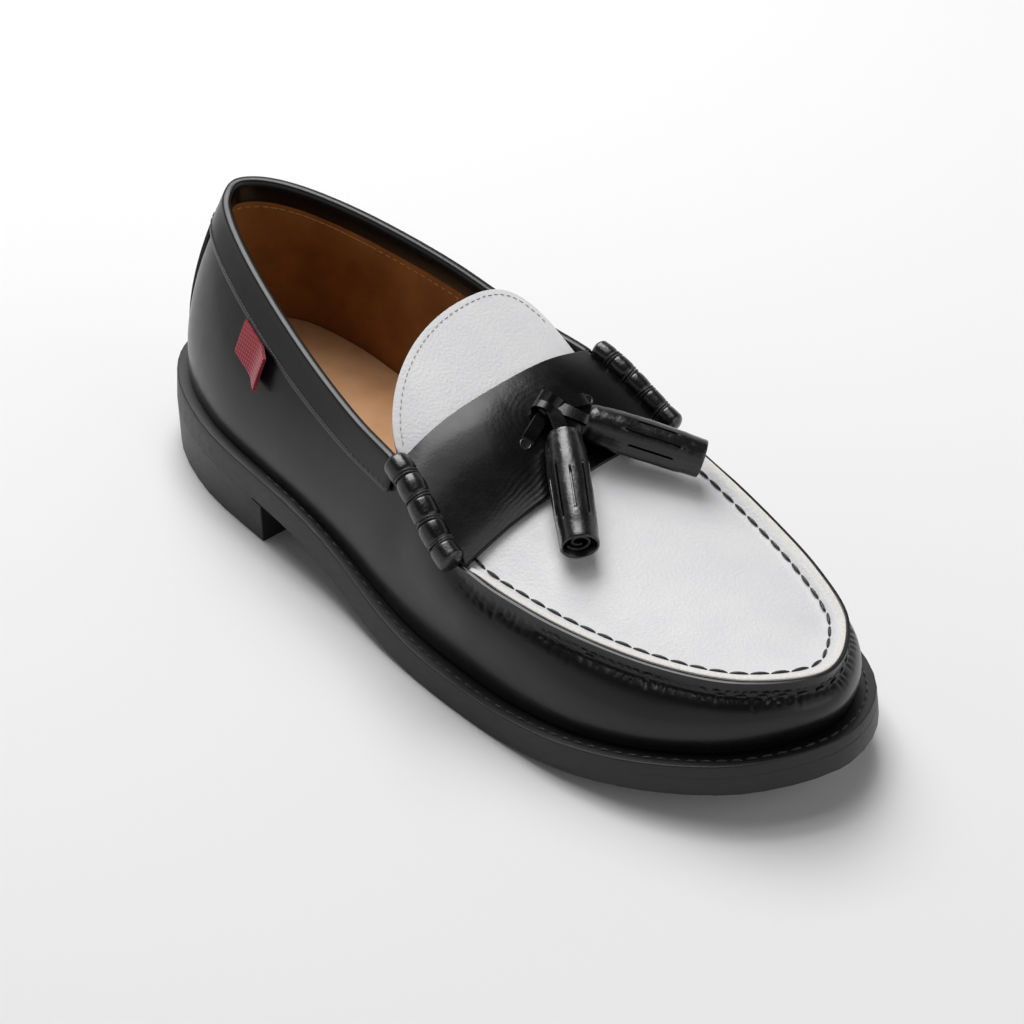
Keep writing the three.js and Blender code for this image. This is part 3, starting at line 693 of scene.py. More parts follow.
# %% The upper's copy and its guide lines
SEAM_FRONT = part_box("saddle_strap")[1].x
SEAM_START = SEAM_FRONT - 2 * MM
SEAM_FULL = SEAM_FRONT + 5 * MM
upper = take_copy("upper", "upper_leather")
grooves = edge_lines(upper, hollow_edge(22))
vamp_groove = max(grooves, key=lambda line: len([point for point in line if point.x > SEAM_FRONT]))
plug = take_copy("plug", "plug_leather")
plug_base = edge_lines(plug, hollow_edge(50))[0]
groove_guide = Guide(vamp_groove)
base_guide = Guide(plug_base)
print("the seam is", round(len(base_guide.stops) * base_guide.step / MM), "mm long")

# %% Lowering the black half
LIP_HEIGHT = 4 * MM
LIP_DROP = 0.6 * MM
GROOVE_DOWN = 1.4 * MM
GROOVE_OUT = -0.5 * MM


def lower_lip(mesh):
    for vertex in mesh.verts:
        share = smooth(SEAM_START, SEAM_FULL, vertex.co.x)
        out, high, along, outward = groove_guide.measure(vertex.co)
        if share == 0 or abs(out) > 3 * MM:
            continue
        if high > LIP_HEIGHT:
            vertex.co.z -= LIP_DROP * share
        elif abs(out) < 0.2 * MM and abs(high) < 0.2 * MM:
            vertex.co += (outward * GROOVE_OUT - UP * GROOVE_DOWN) * share


# %% Leaning the white half
CREST_OVER = 0.5 * MM
CREST_WIDTH = 1.6 * MM
FOOT_IN = 3.0 * MM
FOOT_UP = 2.3 * MM
FOOT_REACH = 6 * MM
WALL_IN = 1.4 * MM
WALL_UP = 0.9 * MM


def lean_seam(mesh):
    for vertex in mesh.verts:
        share = smooth(SEAM_START, SEAM_FULL, vertex.co.x)
        out, high, along, outward = base_guide.measure(vertex.co)
        if share == 0:
            continue
        if high > LIP_HEIGHT:
            vertex.co += outward * CREST_OVER * share * min(max(out / CREST_WIDTH, 0), 1)
        elif high > 1.2 * MM and abs(out) < 0.6 * MM:
            vertex.co += (UP * WALL_UP - outward * WALL_IN) * share
        elif vertex.normal.z > 0.3 and -FOOT_REACH < out < 0.6 * MM:
            fade = 1 - min(max(-out / FOOT_REACH, 0), 1)
            vertex.co += (UP * FOOT_UP * fade ** 2 - outward * FOOT_IN * fade) * share


def pale_crest(mesh):
    """The cut edge on top of the seam is another material than the face of the leather."""
    for face in mesh.faces:
        centre = face.calc_center_median()
        out, high, along, outward = base_guide.measure(centre)
        if centre.x > SEAM_START and high > LIP_HEIGHT and out > 0.5 * MM:
            face.material_index = 1


edit(upper, lower_lip)
edit(plug, pale_crest)
edit(plug, lean_seam)

# %% [markdown]
# ## The lining
# The lining is a skin of tan leather just inside the wall of the upper: the inner faces of the wall
# are lifted off and pushed in a little. It stops below the seam, where a real one is trimmed.

# %% The lining, lifted from the wall's inner faces
LINING_PUSH = 0.25 * MM
LINING_THICKNESS = 0.5 * MM
LINING_CLEAR = 9 * MM
SLICE_HALF = 12 * MM
CORE_INSET = 45 * MM


def foot_middle(x):
    """The middle of the insole at an x, to tell a wall's inside from its outside."""
    near = [vertex.co.y for vertex in sock.data.vertices if abs(vertex.co.x - x) < SLICE_HALF]
    if not near:
        return 0.0
    return (min(near) + max(near)) / 2


def keep_inside(mesh):
    low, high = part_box("insole")
    outside = []
    for face in mesh.faces:
        centre = face.calc_center_median()
        core_x = min(max(centre.x, low.x + CORE_INSET), high.x - CORE_INSET)
        core = Vector((core_x, foot_middle(core_x), centre.z))
        away_from_core = face.normal.dot(core - centre) <= 0 or abs(face.normal.z) > 0.9
        near_seam = groove_guide.tree.find(centre)[2] < LINING_CLEAR and centre.x > 0
        if away_from_core or near_seam:
            outside.append(face)
    bmesh.ops.delete(mesh, geom=outside, context="FACES")
    for vertex in mesh.verts:
        vertex.co += vertex.normal * LINING_PUSH


lining = bpy.data.objects.new("lining_leather", upper.data.copy())
bpy.context.collection.objects.link(lining)
edit(lining, keep_inside)
apply(lining, "SUBSURF", levels=2, render_levels=2)
apply(lining, "SOLIDIFY", thickness=LINING_THICKNESS, offset=1)
dress(lining, TAN_LINING, "tan_leather")

# %% [markdown]
# ## Puckers and dents
# The vamp is longer than the apron's edge and is gathered into the seam, so each stitch pulls a short
# fold that runs down from the groove and dies out within a centimetre. The leather also keeps a few
# long soft dents from the last. The faces near the seam are divided first, because a fold of three
# millimetres needs points a millimetre apart.

# %% Puckers
PUCKER_PITCH = STITCHES["apron"][0] * MM / 2
PUCKER_DEPTH = 0.5 * MM
PUCKER_LENGTH = 9 * MM


def near_seam(point):
    out, high, along, outward = groove_guide.measure(point)
    return point.x > SEAM_START and high < 0.6 * MM and -1 * MM < out < PUCKER_LENGTH + 2 * MM \
        and high > -PUCKER_LENGTH - 2 * MM


def pucker(mesh):
    for vertex in mesh.verts:
        if not near_seam(vertex.co):
            continue
        out, high, along, outward = groove_guide.measure(vertex.co)
        if vertex.normal.dot(outward) < 0:
            continue
        below = math.hypot(out - GROOVE_OUT, high + GROOVE_DOWN)
        uneven = noise.noise(Vector((along / (7 * MM), below / (12 * MM), 0)))
        slant = along + below * 0.5 * noise.noise(Vector((along / (16 * MM), 3, 0)))
        fold = 0.5 + 0.5 * math.cos(2 * math.pi * (slant / PUCKER_PITCH + 0.6 * uneven))
        strength = 0.65 + 1.1 * noise.noise(Vector((along / (13 * MM), 0, 7)))
        reach = PUCKER_LENGTH * (0.55 + 0.8 * noise.noise(Vector((along / (5 * MM), 0, 2))))
        fade = smooth(0, 1.0 * MM, below) * (1 - smooth(0.5 * MM, max(reach, 2 * MM), below))
        vertex.co -= vertex.normal * PUCKER_DEPTH * fold ** 3 * fade * max(strength, 0.08)


# %% Dents: share of the shoe's length, height and side, then turn, length, width and depth in mm
SHOE_LENGTH = cad_box[1].x - cad_box[0].x
VAMP_DENTS = [
    (0.66, 34, -1, 62, 34, 7, 0.45),
    (0.60, 38, -1, 70, 26, 5, 0.35),
    (0.50, 40, -1, 80, 30, 8, 0.5),
    (0.72, 30, -1, 50, 30, 9, 0.35),
    (0.30, 52, -1, 20, 40, 12, 0.4),
    (0.64, 38, 1, 64, 32, 7, 0.45),
    (0.55, 44, 1, 75, 30, 8, 0.4),
    (0.30, 50, 1, 15, 40, 12, 0.4),
]


def dent(mesh):
    """Soft troughs over the outer wall; each runs at its turn from the level."""
    for share, height, side, turn, length, width, depth in VAMP_DENTS:
        centre_x = cad_box[0].x + share * SHOE_LENGTH
        run = Vector((math.cos(math.radians(turn)), math.sin(math.radians(turn))))
        for vertex in mesh.verts:
            if vertex.co.y * side < 0 or vertex.normal.y * side < 0:
                continue
            offset = Vector((vertex.co.x - centre_x, vertex.co.z - height * MM)) / MM
            down = offset.dot(run) / length
            across = (offset.y * run.x - offset.x * run.y) / width
            vertex.co -= vertex.normal * depth * MM * math.exp(-4 * down ** 2 - across ** 2)


smooth_over(upper, 2, angle=60, amount=0.7)
pick(upper)
bpy.ops.object.mode_set(mode="EDIT")
bpy.ops.mesh.select_all(action="DESELECT")
bpy.ops.object.mode_set(mode="OBJECT")
for face in upper.data.polygons:
    face.select = near_seam(face.center)
bpy.ops.object.mode_set(mode="EDIT")
bpy.ops.mesh.select_mode(type="FACE")
bpy.ops.mesh.subdivide(number_cuts=2, smoothness=0)
bpy.ops.object.mode_set(mode="OBJECT")
edit(upper, pucker)
edit(upper, dent)
dress(upper, BLACK_CALF, "black_leather", "upper", angle=55)

# %% The plug
plug.data.materials.append(WHITE_CALF)
plug.data.materials.append(PALE_EDGE)
smooth_over(plug, 3, angle=60, amount=0.6)
dress(plug, WHITE_CALF, "white_leather", "plug", angle=55)

# %% [markdown]
# ## Threads of the seam
# Two rows show. On the apron the thread lies in long stitches along the foot of the white band, and
# below the black edge the same stitches come out in the groove.

# %% Threads of the seam
THREAD_LIFT = 1 * MM


def seam_thread(name, guide, inward, lift, piece, kind):
    """Stitches beside a guide line, laid on a piece of leather."""
    line = []
    for point, heading in guide.stops[::4]:
        out, high, along, outward = guide.measure(point)
        if point.x > SEAM_FRONT + 0.5 * MM:
            line.append(point - outward * inward + UP * lift)
    stitch_row(name, line, surface(piece), kind, BLACK_THREAD, "sole_black")


seam_thread("seam_thread_apron", base_guide, FOOT_IN, FOOT_UP + THREAD_LIFT, plug, "apron")
seam_thread("seam_thread_vamp", groove_guide, -GROOVE_OUT, -GROOVE_DOWN, upper, "vamp")

# %% [markdown]
# ## Tongue, strap, band and stay
# These are flat pieces of leather, skived thin at their edges and sewn down with a fine row near the
# edge. They could be drawn anew as sheets, but the solids have their outlines, so they are subdivided
# and only wrinkles and stitches are new. A row runs at a set distance inside the piece's own outline.

# %% The tongue
TONGUE_ROW = 2.6 * MM
TONGUE_UNDER = 9 * MM
tongue = take_copy("tongue", "tongue_leather")
tongue_rims = edge_lines(tongue, outer_edge(50))[:2]
tongue_rim = max(tongue_rims, key=lambda line: sum(point.z for point in line) / len(line))
smooth_over(tongue, 3, angle=60, amount=0.8)
dress(tongue, WHITE_CALF, "white_leather", "tongue")
stitch_row("tongue_thread", inner_row(tongue_rim, TONGUE_ROW), surface(tongue), "tongue", GREY_THREAD,
           "white_leather", keep=lambda point: point.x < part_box("saddle_strap")[0].x + TONGUE_UNDER)

# %% The strap
SIDE_DRAW = 1.6 * MM
SIDE_RAISE = 0.4 * MM
WRINKLE_PITCH = 1.5 * MM
ARC_PITCH = 2.2 * MM
WRINKLE_DEPTH = 0.028 * MM
WRINKLE_SLANT = 0.18
WRINKLE_DRIFT = 0.9 * MM
DRIFT_SIZE = 8 * MM
ARC_SHARE = 0.3
ARC_REACH = 13 * MM
ARC_SPREAD = 6 * MM
ARC_STARTS = 8 * MM
# Where the wrinkled stretches lie across the shoe from the knot, how wide they are and how strong
WRINKLED_SIDES = [(-14 * MM, 16 * MM, 1.0), (20 * MM, 12 * MM, 0.6)]
strap = take_copy("saddle_strap", "strap_leather")
strap_low, strap_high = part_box("saddle_strap")
strap_middle = Vector((low + high) / 2 for low, high in zip(strap_low, strap_high))


def draw_sides(mesh):
    """Pulls the two sides outwards under the rolls."""
    half = (strap_high.y - strap_low.y) / 2
    for vertex in mesh.verts:
        share = (vertex.co.y - strap_middle.y) / half
        pull = smooth(0.75, 1.0, abs(share))
        vertex.co.y += math.copysign(SIDE_DRAW * pull, share)
        vertex.co.z += SIDE_RAISE * pull


def wrinkle(mesh):
    """Fine wrinkles along the front edge and round the knot, where the leather is drawn together."""
    knot_low, knot_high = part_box("tassel_lace")
    knot_middle = Vector((low + high) / 2 for low, high in zip(knot_low, knot_high))
    for vertex in mesh.verts:
        if vertex.normal.z < 0.2:
            continue
        offset = vertex.co - knot_middle
        near_front = smooth(strap_middle.x, strap_high.x, vertex.co.x)
        beside = sum(share * math.exp(-((offset.y - place) / spread) ** 2)
                     for place, spread, share in WRINKLED_SIDES)
        drift = WRINKLE_DRIFT * noise.noise(vertex.co / DRIFT_SIZE)
        lines = math.sin(2 * math.pi * (vertex.co.x + WRINKLE_SLANT * offset.y + drift) / WRINKLE_PITCH)
        reach = offset.xy.length
        around = math.exp(-((reach - ARC_REACH) / ARC_SPREAD) ** 2)
        arcs = math.sin(2 * math.pi * (reach + 2 * drift) / ARC_PITCH) * around
        behind = smooth(0, ARC_STARTS, -offset.x)
        vertex.co += vertex.normal * WRINKLE_DEPTH * (lines * near_front * beside + ARC_SHARE * arcs * behind)


edit(strap, draw_sides)
smooth_over(strap, 4, angle=60, amount=0.8)
edit(strap, wrinkle)
dress(strap, BLACK_STRAP, "black_leather", "saddle_strap")
strap_surface = surface(strap)

# %% The collar band
BAND_ROW = 1.7 * MM
LINING_ROW = 2.5 * MM
band = take_copy("collar_band", "collar_band_leather")
band_outer, band_inner = edge_lines(band, outer_edge(50))[:2]
smooth_over(band, 2, angle=60, amount=0.3)
dress(band, BLACK_CALF, "black_leather", "collar_band")
stitch_row("collar_thread", [point + UP * BAND_ROW for point in band_outer], surface(band), "collar",
           BLACK_THREAD, "sole_black")
stitch_row("lining_thread", [point - UP * LINING_ROW for point in band_inner], surface(lining), "lining",
           TAN_THREAD, "tan_leather")

# %% The seam of the lining: x and height in mm of points down the inner side
LINING_SEAM = [(-58, 74), (-63, 62), (-66, 48), (-67, 36)]
LINING_SEAM_STEPS = 6
lining_surface = surface(lining)
seam_line = []
for (x, height), (next_x, next_height) in zip(LINING_SEAM, LINING_SEAM[1:]):
    for step in range(LINING_SEAM_STEPS):
        share = step / LINING_SEAM_STEPS
        inside = Vector((x + (next_x - x) * share, 0, height + (next_height - height) * share)) * MM
        hit, normal, face, distance = lining_surface.ray_cast(inside, Vector((0, 1, 0)))
        if hit:
            seam_line.append(hit)
stitch_row("lining_seam_thread", seam_line, lining_surface, "lining", TAN_THREAD, "tan_leather")
print("the lining seam has", len(seam_line), "points")

# %% The back stay and the tab
STAY_ROW = 1.8 * MM
stay = take_copy("back_stay", "back_stay_leather")
stay_rims = edge_lines(stay, outer_edge(50))
smooth_over(stay, 2, angle=60, amount=0.7)
dress(stay, BLACK_CALF, "black_leather", "back_stay")
stay_rim = min(stay_rims[:2], key=lambda line: sum(point.x for point in line) / len(line))
stitch_row("back_stay_thread", inner_row(stay_rim, STAY_ROW, Vector((-1, 0, 0))), surface(stay), "stay",
           BLACK_THREAD, "sole_black")

tab = take_copy("side_tab", "side_tab_tape")
TAB_LIFT = 2.4 * MM
tab_low, tab_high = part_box("side_tab")


def lift_front(mesh):
    """The tab is sewn in at the collar only, so its lower front corner stands off."""
    for vertex in mesh.verts:
        free = smooth(0.45, 1.0, (vertex.co.x - tab_low[0]) / (tab_high[0] - tab_low[0]))
        vertex.co.y -= TAB_LIFT * free ** 2


smooth_over(tab, 3, angle=60, amount=0.7)
edit(tab, lift_front)
dress(tab, RED_TAPE, "red_fabric", "side_tab")

# %% [markdown]
# ## Rolls, tassels and lace
# These are glazed leather wound and cut by hand. Each is a skin drawn over loops of points round an
# axis, and the axis and the thickness come from the rings of the solid that it dresses, so that only
# the cuts, wraps and folds are new.

# %% Rings of a solid and a skin over loops
def rings(node):
    """The centre and radius of each ring of a round solid, counted from the pole at its high end."""
    mesh = bmesh.new()
    mesh.from_mesh(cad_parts[node].data)
    bmesh.ops.remove_doubles(mesh, verts=mesh.verts, dist=0.01 * MM)
    mesh.verts.index_update()
    poles = [vertex for vertex in mesh.verts if len(vertex.link_edges) > 9]
    layer = [max(poles, key=lambda vertex: vertex.co.z)]
    seen = set(layer)
    found = []
    while layer:
        points = [vertex.co.copy() for vertex in layer]
        centre = sum(points, Vector()) / len(points)
        found.append((centre, max((point - centre).length for point in points)))
        onward = {edge.other_vert(vertex) for vertex in layer for edge in vertex.link_edges}
        layer = sorted(onward - seen, key=lambda vertex: vertex.index)
        seen |= onward
    mesh.free()
    return found


def skin(name, loops):
    """A closed skin over loops with as many points each, filled flat at both ends."""
    count = len(loops[0])
    points = [point for loop in loops for point in loop]
    faces = [tuple(reversed(range(count)))]
    for row in range(len(loops) - 1):
        for step in range(count):
            onward = (step + 1) % count
            faces.append((row * count + step, row * count + onward,
                          (row + 1) * count + onward, (row + 1) * count + step))
    faces.append(tuple(range((len(loops) - 1) * count, len(loops) * count)))
    piece = new_piece(name, points, faces)
    pick(piece)
    bpy.ops.object.mode_set(mode="EDIT")
    bpy.ops.mesh.select_all(action="SELECT")
    bpy.ops.mesh.normals_make_consistent(inside=False)
    bpy.ops.object.mode_set(mode="OBJECT")
    return piece


def across(heading):
    """Two directions square to a heading: one level, one as upright as can be."""
    level_way = UP.cross(heading).normalized()
    return level_way, heading.cross(level_way).normalized()


def along_line(line, share):
    """The point and the heading at a share of a line's length."""
    spans = [(end - start).length for start, end in zip(line, line[1:])]
    left = share * sum(spans)
    for start, end, span in zip(line, line[1:], spans):
        if left <= span or end is line[-1]:
            return start + (end - start) * min(left / span, 1), (end - start).normalized()
        left -= span


def join_pieces(name, pieces):
    deselect()
    for piece in pieces:
        piece.select_set(True)
    bpy.context.view_layer.objects.active = pieces[0]
    bpy.ops.object.join()
    pieces[0].name = name
    return pieces[0]


# %% The gathered rolls
ROLL_PARTS = 5
ROLL_SIDES = 28
ROLL_STEPS = 120
ROLL_GROOVE = 0.17
ROLL_DROP = {-1: 1.0 * MM, 1: 2.6 * MM}
ROLL_OUT = {-1: 0.9 * MM, 1: 0.3 * MM}
ROLL_FULL = {-1: 1.16, 1: 0.9}
GROOVE_WIDTH = 0.9 * MM
ROLL_CAP = 2.2 * MM
WRAP_THICK = 0.75 * MM
WRAP_APART = 0.65 * MM


def roll_radius(along, length, radius):
    """Bulging parts with a narrow groove between them, rounded off at both ends."""
    part = length / ROLL_PARTS
    from_groove = abs((along / part + 0.5) % 1 - 0.5) * part
    bulge = 0.93 + 0.07 * math.sin(math.pi * (along / part % 1))
    pinch = ROLL_GROOVE * math.exp(-(from_groove / GROOVE_WIDTH) ** 2)
    from_end = min(along, length - along)
    cap = math.sqrt(max(1 - (1 - min(from_end / ROLL_CAP, 1)) ** 2, 0.0))
    return radius * (bulge - pinch) * (0.25 + 0.75 * cap)


def loop_round(centre, heading, radius, sides, ripple=0.0):
    side, over = across(heading)
    turns = [2 * math.pi * step / sides for step in range(sides)]
    return [centre + side * math.cos(turn) * radius * (1 + ripple * math.sin(5 * turn))
            + over * math.sin(turn) * radius * (1 + ripple * math.sin(5 * turn)) for turn in turns]


def make_roll(node):
    found = rings(node)[1:-1]
    out = 1 if found[0][0].y > 0 else -1
    drop = UP * -ROLL_DROP[out] + Vector((0, out * ROLL_OUT[out], 0))
    line = [centre + drop for centre, radius in found]
    radius = max(size for centre, size in found) * ROLL_FULL[out]
    length = sum((after - before).length for before, after in zip(line, line[1:]))
    loops = []
    for step in range(ROLL_STEPS + 1):
        share = step / ROLL_STEPS
        centre, heading = along_line(line, share)
        uneven = 1 + 0.03 * noise.noise(centre / (3 * MM))
        loops.append(loop_round(centre, heading, roll_radius(share * length, length, radius) * uneven,
                                ROLL_SIDES))
    roll = skin(node + "_leather", loops)
    dress(roll, BLACK_GLAZED, "black_leather", node, angle=60)
    wraps = []
    for number in range(1, ROLL_PARTS):
        for apart in (-WRAP_APART, WRAP_APART):
            along = number * length / ROLL_PARTS + apart
            centre, heading = along_line(line, along / length)
            heading = (heading + Vector((0, 0.12 * (-1) ** number, 0.1 * apart / MM))).normalized()
            reach = roll_radius(along, length, radius) + WRAP_THICK * 0.2
            deselect()
            turned = heading.to_track_quat("Z", "Y").to_euler()
            bpy.ops.mesh.primitive_torus_add(location=centre, rotation=turned,
                                             major_radius=reach, minor_radius=WRAP_THICK / 2,
                                             major_segments=36, minor_segments=8)
            bpy.ops.object.transform_apply()
            wraps.append(bpy.context.object)
    dress(join_pieces(node + "_thread", wraps), BLACK_THREAD, "sole_black", angle=60)


make_roll("roll_outer")
make_roll("roll_inner")

# %% The tassels
TASSEL_SIDES = 36
SLITS = 9
SLIT_HALF = 0.22 * MM
SLIT_DEPTH = 1.0 * MM
SLIT_RAMP = 1.2 * MM
TASSEL_STEP = 0.8 * MM
TASSEL_WALL = 1.0 * MM
COIL_SUNK = 1.2 * MM
COIL_WALL = 0.95 * MM
COIL_FALL = 0.8 * MM
COIL_GAP = 0.9 * MM
COIL_TURNS = 1.3
COIL_STEPS = 60
LAP_STEP = 0.6 * MM
LAP_TURN = math.radians(200)


def slit_ends(number):
    """Where a slit starts and stops, as shares of the tassel's length, staggered round it."""
    return 0.24 + 0.16 * ((number * 4) % SLITS) / SLITS, 0.74 + 0.1 * ((number * 5) % SLITS) / SLITS


def tassel_turns(radius):
    """Turns round the tassel, even ones and four close ones at each slit, with the slit's number."""
    turns = [(2 * math.pi * step / TASSEL_SIDES, None, 0.0) for step in range(TASSEL_SIDES)]
    wide = SLIT_HALF / radius
    for number in range(SLITS):
        middle = 2 * math.pi * (number + 0.37) / SLITS
        turns = [turn for turn in turns if abs(turn[0] - middle) > 2.6 * wide]
        turns += [(middle - 2 * wide, number, 0.0), (middle - wide, number, 1.0),
                  (middle + wide, number, 1.0), (middle + 2 * wide, number, 0.0)]
    return sorted(turns)


def make_tassel(node, lap_at):
    found = rings(node)
    far = max(range(len(found)), key=lambda index: (found[index][0] - found[0][0]).length)
    head = found[0][0]
    end = found[far][0]
    heading = (end - head).normalized()
    length = (end - head).length
    side, over = across(heading)
    outside = [((centre - head).length, radius) for centre, radius in found[1:far + 1]]
    bore_depth = (found[-1][0] - end).length

    def radius_at(along):
        for (low, small), (high, large) in zip(outside[1:], outside[2:]):
            if along <= high and high > low:
                return small + (large - small) * max(along - low, 0) / (high - low)
        return outside[-1][1]

    turns = tassel_turns(outside[4][1])

    def loop(along, radius, cut=0.0):
        points = []
        for turn, number, weight in turns:
            lap = ((turn - lap_at) / (2 * math.pi)) % 1
            reach = radius + cut * LAP_STEP * (0.5 - lap)
            if number is not None:
                start, stop = slit_ends(number)
                inside = smooth(start * length, start * length + SLIT_RAMP, along) \
                    * (1 - smooth(stop * length - SLIT_RAMP, stop * length, along))
                reach -= cut * SLIT_DEPTH * weight * inside
            reach += cut * 0.12 * MM * noise.noise(Vector((math.cos(turn), math.sin(turn), along / (5 * MM))))
            points.append(head + heading * along + (side * math.cos(turn) + over * math.sin(turn)) * reach)
        return points

    loops = [loop(0.35 * MM, radius_at(0) * 0.5), loop(0.15 * MM, radius_at(0) * 0.86),
             loop(0.25 * MM, radius_at(0) * 0.97)]
    steps = round(length / TASSEL_STEP)
    for step in range(1, steps):
        along = step * length / steps
        waist = 1 - 0.05 * math.exp(-((along - 3 * MM) / (2 * MM)) ** 2)
        loops.append(loop(along, radius_at(along) * waist, cut=1.0))
    rim = max(radius for centre, radius in found if (centre - end).length < 0.5 * MM)
    print(node, "is", round(rim / MM, 1), "mm in radius at its open end")
    loops += [loop(length - 0.2 * MM, rim * 0.985, 1.0), loop(length, rim - 0.35 * MM, 0.6),
              loop(length, rim - TASSEL_WALL + 0.3 * MM), loop(length - 0.4 * MM, rim - TASSEL_WALL),
              loop(length - bore_depth, rim - TASSEL_WALL - 0.3 * MM)]
    outer = skin(node + "_leather", loops)
    coil = []
    for step in range(COIL_STEPS + 1):
        share = step / COIL_STEPS
        turn = lap_at + 2 * math.pi * COIL_TURNS * share
        reach = (rim - TASSEL_WALL - COIL_GAP) * (1 - 0.5 * share)
        out = side * math.cos(turn) + over * math.sin(turn)
        top = length - COIL_SUNK - COIL_FALL * share
        crest = head + heading * top
        floor = head + heading * (length - bore_depth)
        coil.append([crest + out * reach, crest + out * (reach - COIL_WALL),
                     floor + out * (reach - COIL_WALL), floor + out * reach])
    inner = skin(node + "_coil", coil)
    apply(inner, "BEVEL", width=0.2 * MM, segments=2, limit_method="ANGLE", angle_limit=math.radians(60))
    dress(join_pieces(node + "_leather", [outer, inner]), BLACK_GLAZED, "black_leather", node, angle=50)
    return head, heading


outer_head, outer_way = make_tassel("tassel_outer", LAP_TURN)
inner_head, inner_way = make_tassel("tassel_inner", LAP_TURN)

# %% [markdown]
# ## The lace
# A flat thong comes up through one hole in the strap, runs to the knot and goes down through the
# other, and both tassels hang from the knot. It could be a curve with a flat profile, but a skin over
# loops keeps its edges crisp. Its few points are given from the holes, the knot and the tassel heads.

# %% A ribbon over points
RIBBON_STEPS = 8
RIBBON_SECTION = [(-1, 0.5), (-0.9, 1), (0.9, 1), (1, 0.5), (1, -0.5), (0.9, -1), (-0.9, -1), (-1, -0.5)]


def curve_through(points, steps):
    """A smooth line through points, as a spline with even steps between them."""
    padded = [points[0] * 2 - points[1]] + points + [points[-1] * 2 - points[-2]]
    line = []
    for p0, p1, p2, p3 in zip(padded, padded[1:], padded[2:], padded[3:]):
        for step in range(steps):
            t = step / steps
            line.append(0.5 * (2 * p1 + (p2 - p0) * t + (2 * p0 - 5 * p1 + 4 * p2 - p3) * t ** 2
                               + (3 * p1 - p0 - 3 * p2 + p3) * t ** 3))
    return line + [points[-1]]


def ribbon(name, points, width, thick, upright, taper=1.0):
    """A flat strip along points; upright is the way its face looks, and taper its end's width."""
    line = curve_through(points, RIBBON_STEPS)
    loops = []
    for index, point in enumerate(line):
        heading = (line[min(index + 1, len(line) - 1)] - line[max(index - 1, 0)]).normalized()
        side = upright.cross(heading).normalized()
        face = heading.cross(side).normalized()
        half = width / 2 * (1 + (taper - 1) * index / (len(line) - 1))
        loops.append([point + side * half * wide + face * thick / 2 * high for wide, high in RIBBON_SECTION])
    return skin(name, loops)


# %% Thong, knot and holes
LACE_WIDTH = 4.6 * MM
LACE_THICK = 1.3 * MM
HOLE_SIZE = 1.7 * MM
HOLE_EDGE = 0.4 * MM
HOLE_BEYOND = 1.3 * MM
END_SLICE = 1.2 * MM
KNOT_REACH = 5 * MM
KNOT_HEIGHT = 2.8 * MM
lace_low, lace_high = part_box("tassel_lace")
lace_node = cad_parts["tassel_lace"]
lace_points = [lace_node.matrix_world @ vertex.co for vertex in lace_node.data.vertices]


def lace_end(test):
    """The middle of the lace's points that pass a test, dropped on the strap."""
    points = [point for point in lace_points if test(point)]
    middle = sum(points, Vector()) / len(points)
    near, normal, face, distance = strap_surface.find_nearest(middle)
    return near, normal


first_hole, first_up = lace_end(lambda point: point.y < lace_low.y + END_SLICE)
last_hole, last_up = lace_end(lambda point: point.y > lace_high.y - END_SLICE)
knot_top = max(lace_points, key=lambda point: point.z)
knot_base, knot_up = lace_end(lambda point: (point - knot_top).length < KNOT_REACH)
knot = knot_base + knot_up * KNOT_HEIGHT
print("the holes are", round((last_hole - first_hole).length / MM, 1), "mm apart")
to_knot = (knot - first_hole).normalized()
lace_parts = [
    ribbon("thong_first", [first_hole - first_up * 2.2 * MM - to_knot * 1.0 * MM,
                           first_hole + first_up * 0.5 * MM + to_knot * 1.2 * MM,
                           first_hole.lerp(knot, 0.55) + first_up * 0.3 * MM, knot], LACE_WIDTH, LACE_THICK,
           first_up),
    ribbon("thong_last", [knot, knot.lerp(last_hole, 0.5) + last_up * 0.5 * MM,
                          last_hole + last_up * 0.6 * MM, last_hole - last_up * 1.2 * MM],
           LACE_WIDTH, LACE_THICK, last_up),
    ribbon("knot_to_outer", [knot + knot_up * 0.8 * MM, knot.lerp(outer_head, 0.5) + knot_up * 1.2 * MM,
                             outer_head + outer_way * 1.5 * MM], LACE_WIDTH * 1.1, LACE_THICK, knot_up),
    ribbon("knot_to_inner", [knot + knot_up * 0.6 * MM, knot.lerp(inner_head, 0.5) + knot_up * 1.0 * MM,
                             inner_head + inner_way * 1.5 * MM], LACE_WIDTH * 1.25, LACE_THICK, knot_up, 0.7),
]
TURN_WIDTH = 4.6 * MM
TURN_RISE = 2.6 * MM
TURN_REACH = 3.9 * MM
TURN_APART = 3.2 * MM
TURN_TILTS = (-0.25, 0.2)
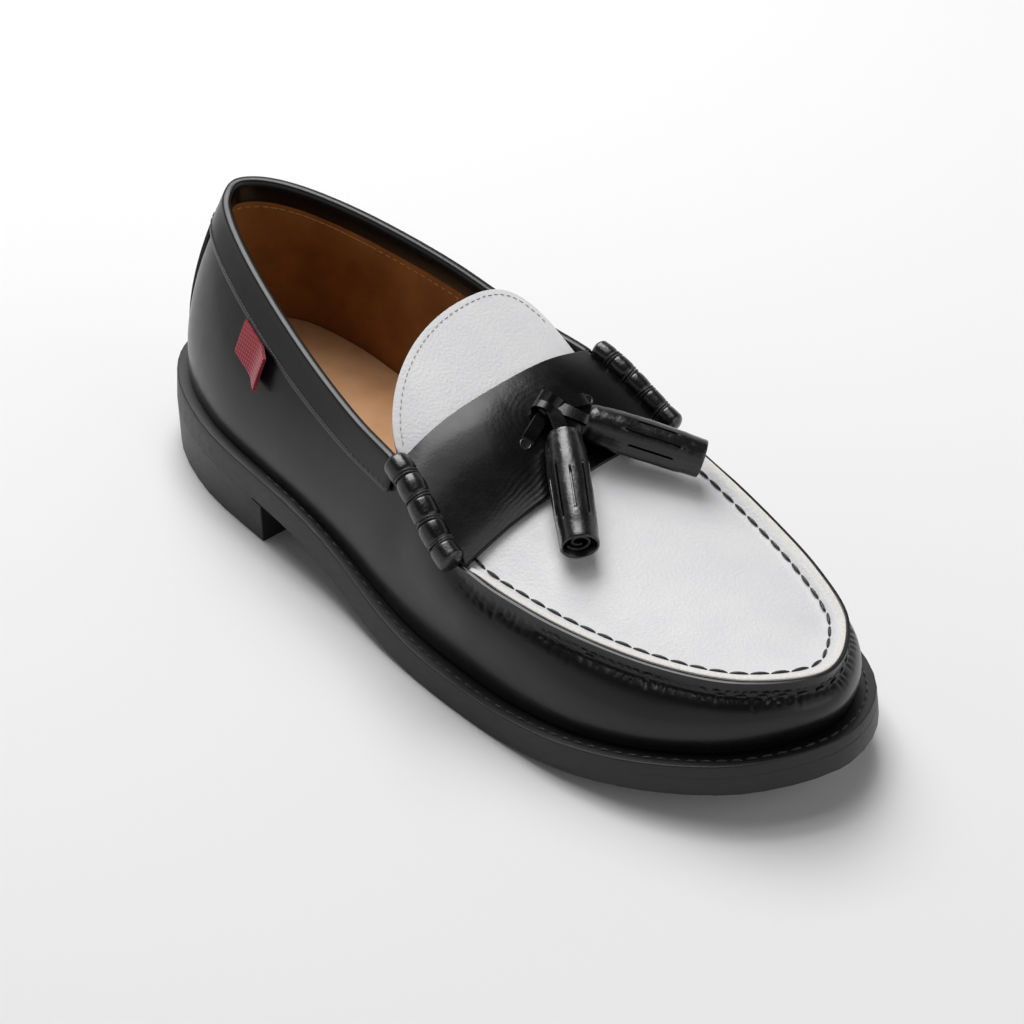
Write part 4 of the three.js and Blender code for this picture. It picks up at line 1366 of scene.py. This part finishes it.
TURN_STEPS = 32
KNOT_BODY = Vector((4.0, 3.6, 2.3)) * MM
for number, tilt in enumerate(TURN_TILTS):
    ring_way = (to_knot + knot_up * tilt).normalized()
    ring_side = knot_up.cross(ring_way).normalized()
    ring_over = ring_way.cross(ring_side).normalized()
    loops = []
    for step in range(TURN_STEPS + 1):
        turn = 2 * math.pi * step / TURN_STEPS
        out = ring_side * math.cos(turn) * TURN_REACH + ring_over * math.sin(turn) * TURN_RISE
        place = knot + to_knot * (number - 0.5) * TURN_APART + out
        face = out.normalized() * LACE_THICK / 2
        half = ring_way * TURN_WIDTH / 2
        loops.append([place - half, place - half * 0.9 + face, place + half * 0.9 + face,
                      place + half, place + half * 0.9 - face, place - half * 0.9 - face])
    lace_parts.append(skin("knot_turn", loops))
deselect()
bpy.ops.mesh.primitive_uv_sphere_add(segments=24, ring_count=14, radius=1, location=knot,
                                     rotation=knot_up.to_track_quat("Z", "Y").to_euler(), scale=KNOT_BODY)
bpy.ops.object.transform_apply()
lace_parts.append(bpy.context.object)
dress(join_pieces("tassel_lace_leather", lace_parts), BLACK_STRAP, "black_leather", "tassel_lace", angle=45)

# %% The rims of the two holes, each round a black disc of painted shade
for name, hole, upright in (("hole_rim_outer", first_hole, first_up), ("hole_rim_inner", last_hole, last_up)):
    away_from_knot = (hole - knot).normalized()
    centre = hole + (away_from_knot - upright * away_from_knot.dot(upright)) * HOLE_BEYOND
    turned = upright.to_track_quat("Z", "Y").to_euler()
    deselect()
    bpy.ops.mesh.primitive_torus_add(location=centre, rotation=turned, major_radius=HOLE_SIZE,
                                     minor_radius=HOLE_EDGE, major_segments=32, minor_segments=10)
    rim = bpy.context.object
    # The cylinder is a black disc laid just under the strap's surface inside the ring. It is painted shade
    # that stands in for the dark inside of the punched hole.
    bpy.ops.mesh.primitive_cylinder_add(vertices=32, radius=HOLE_SIZE, depth=0.3 * MM,
                                        location=centre - upright * 0.05 * MM, rotation=turned)
    floor = bpy.context.object
    for part in (rim, floor):
        pick(part)
        bpy.ops.object.transform_apply()
    dress(join_pieces(name, [rim, floor]), BLACK_GLAZED, "black_leather", angle=50)
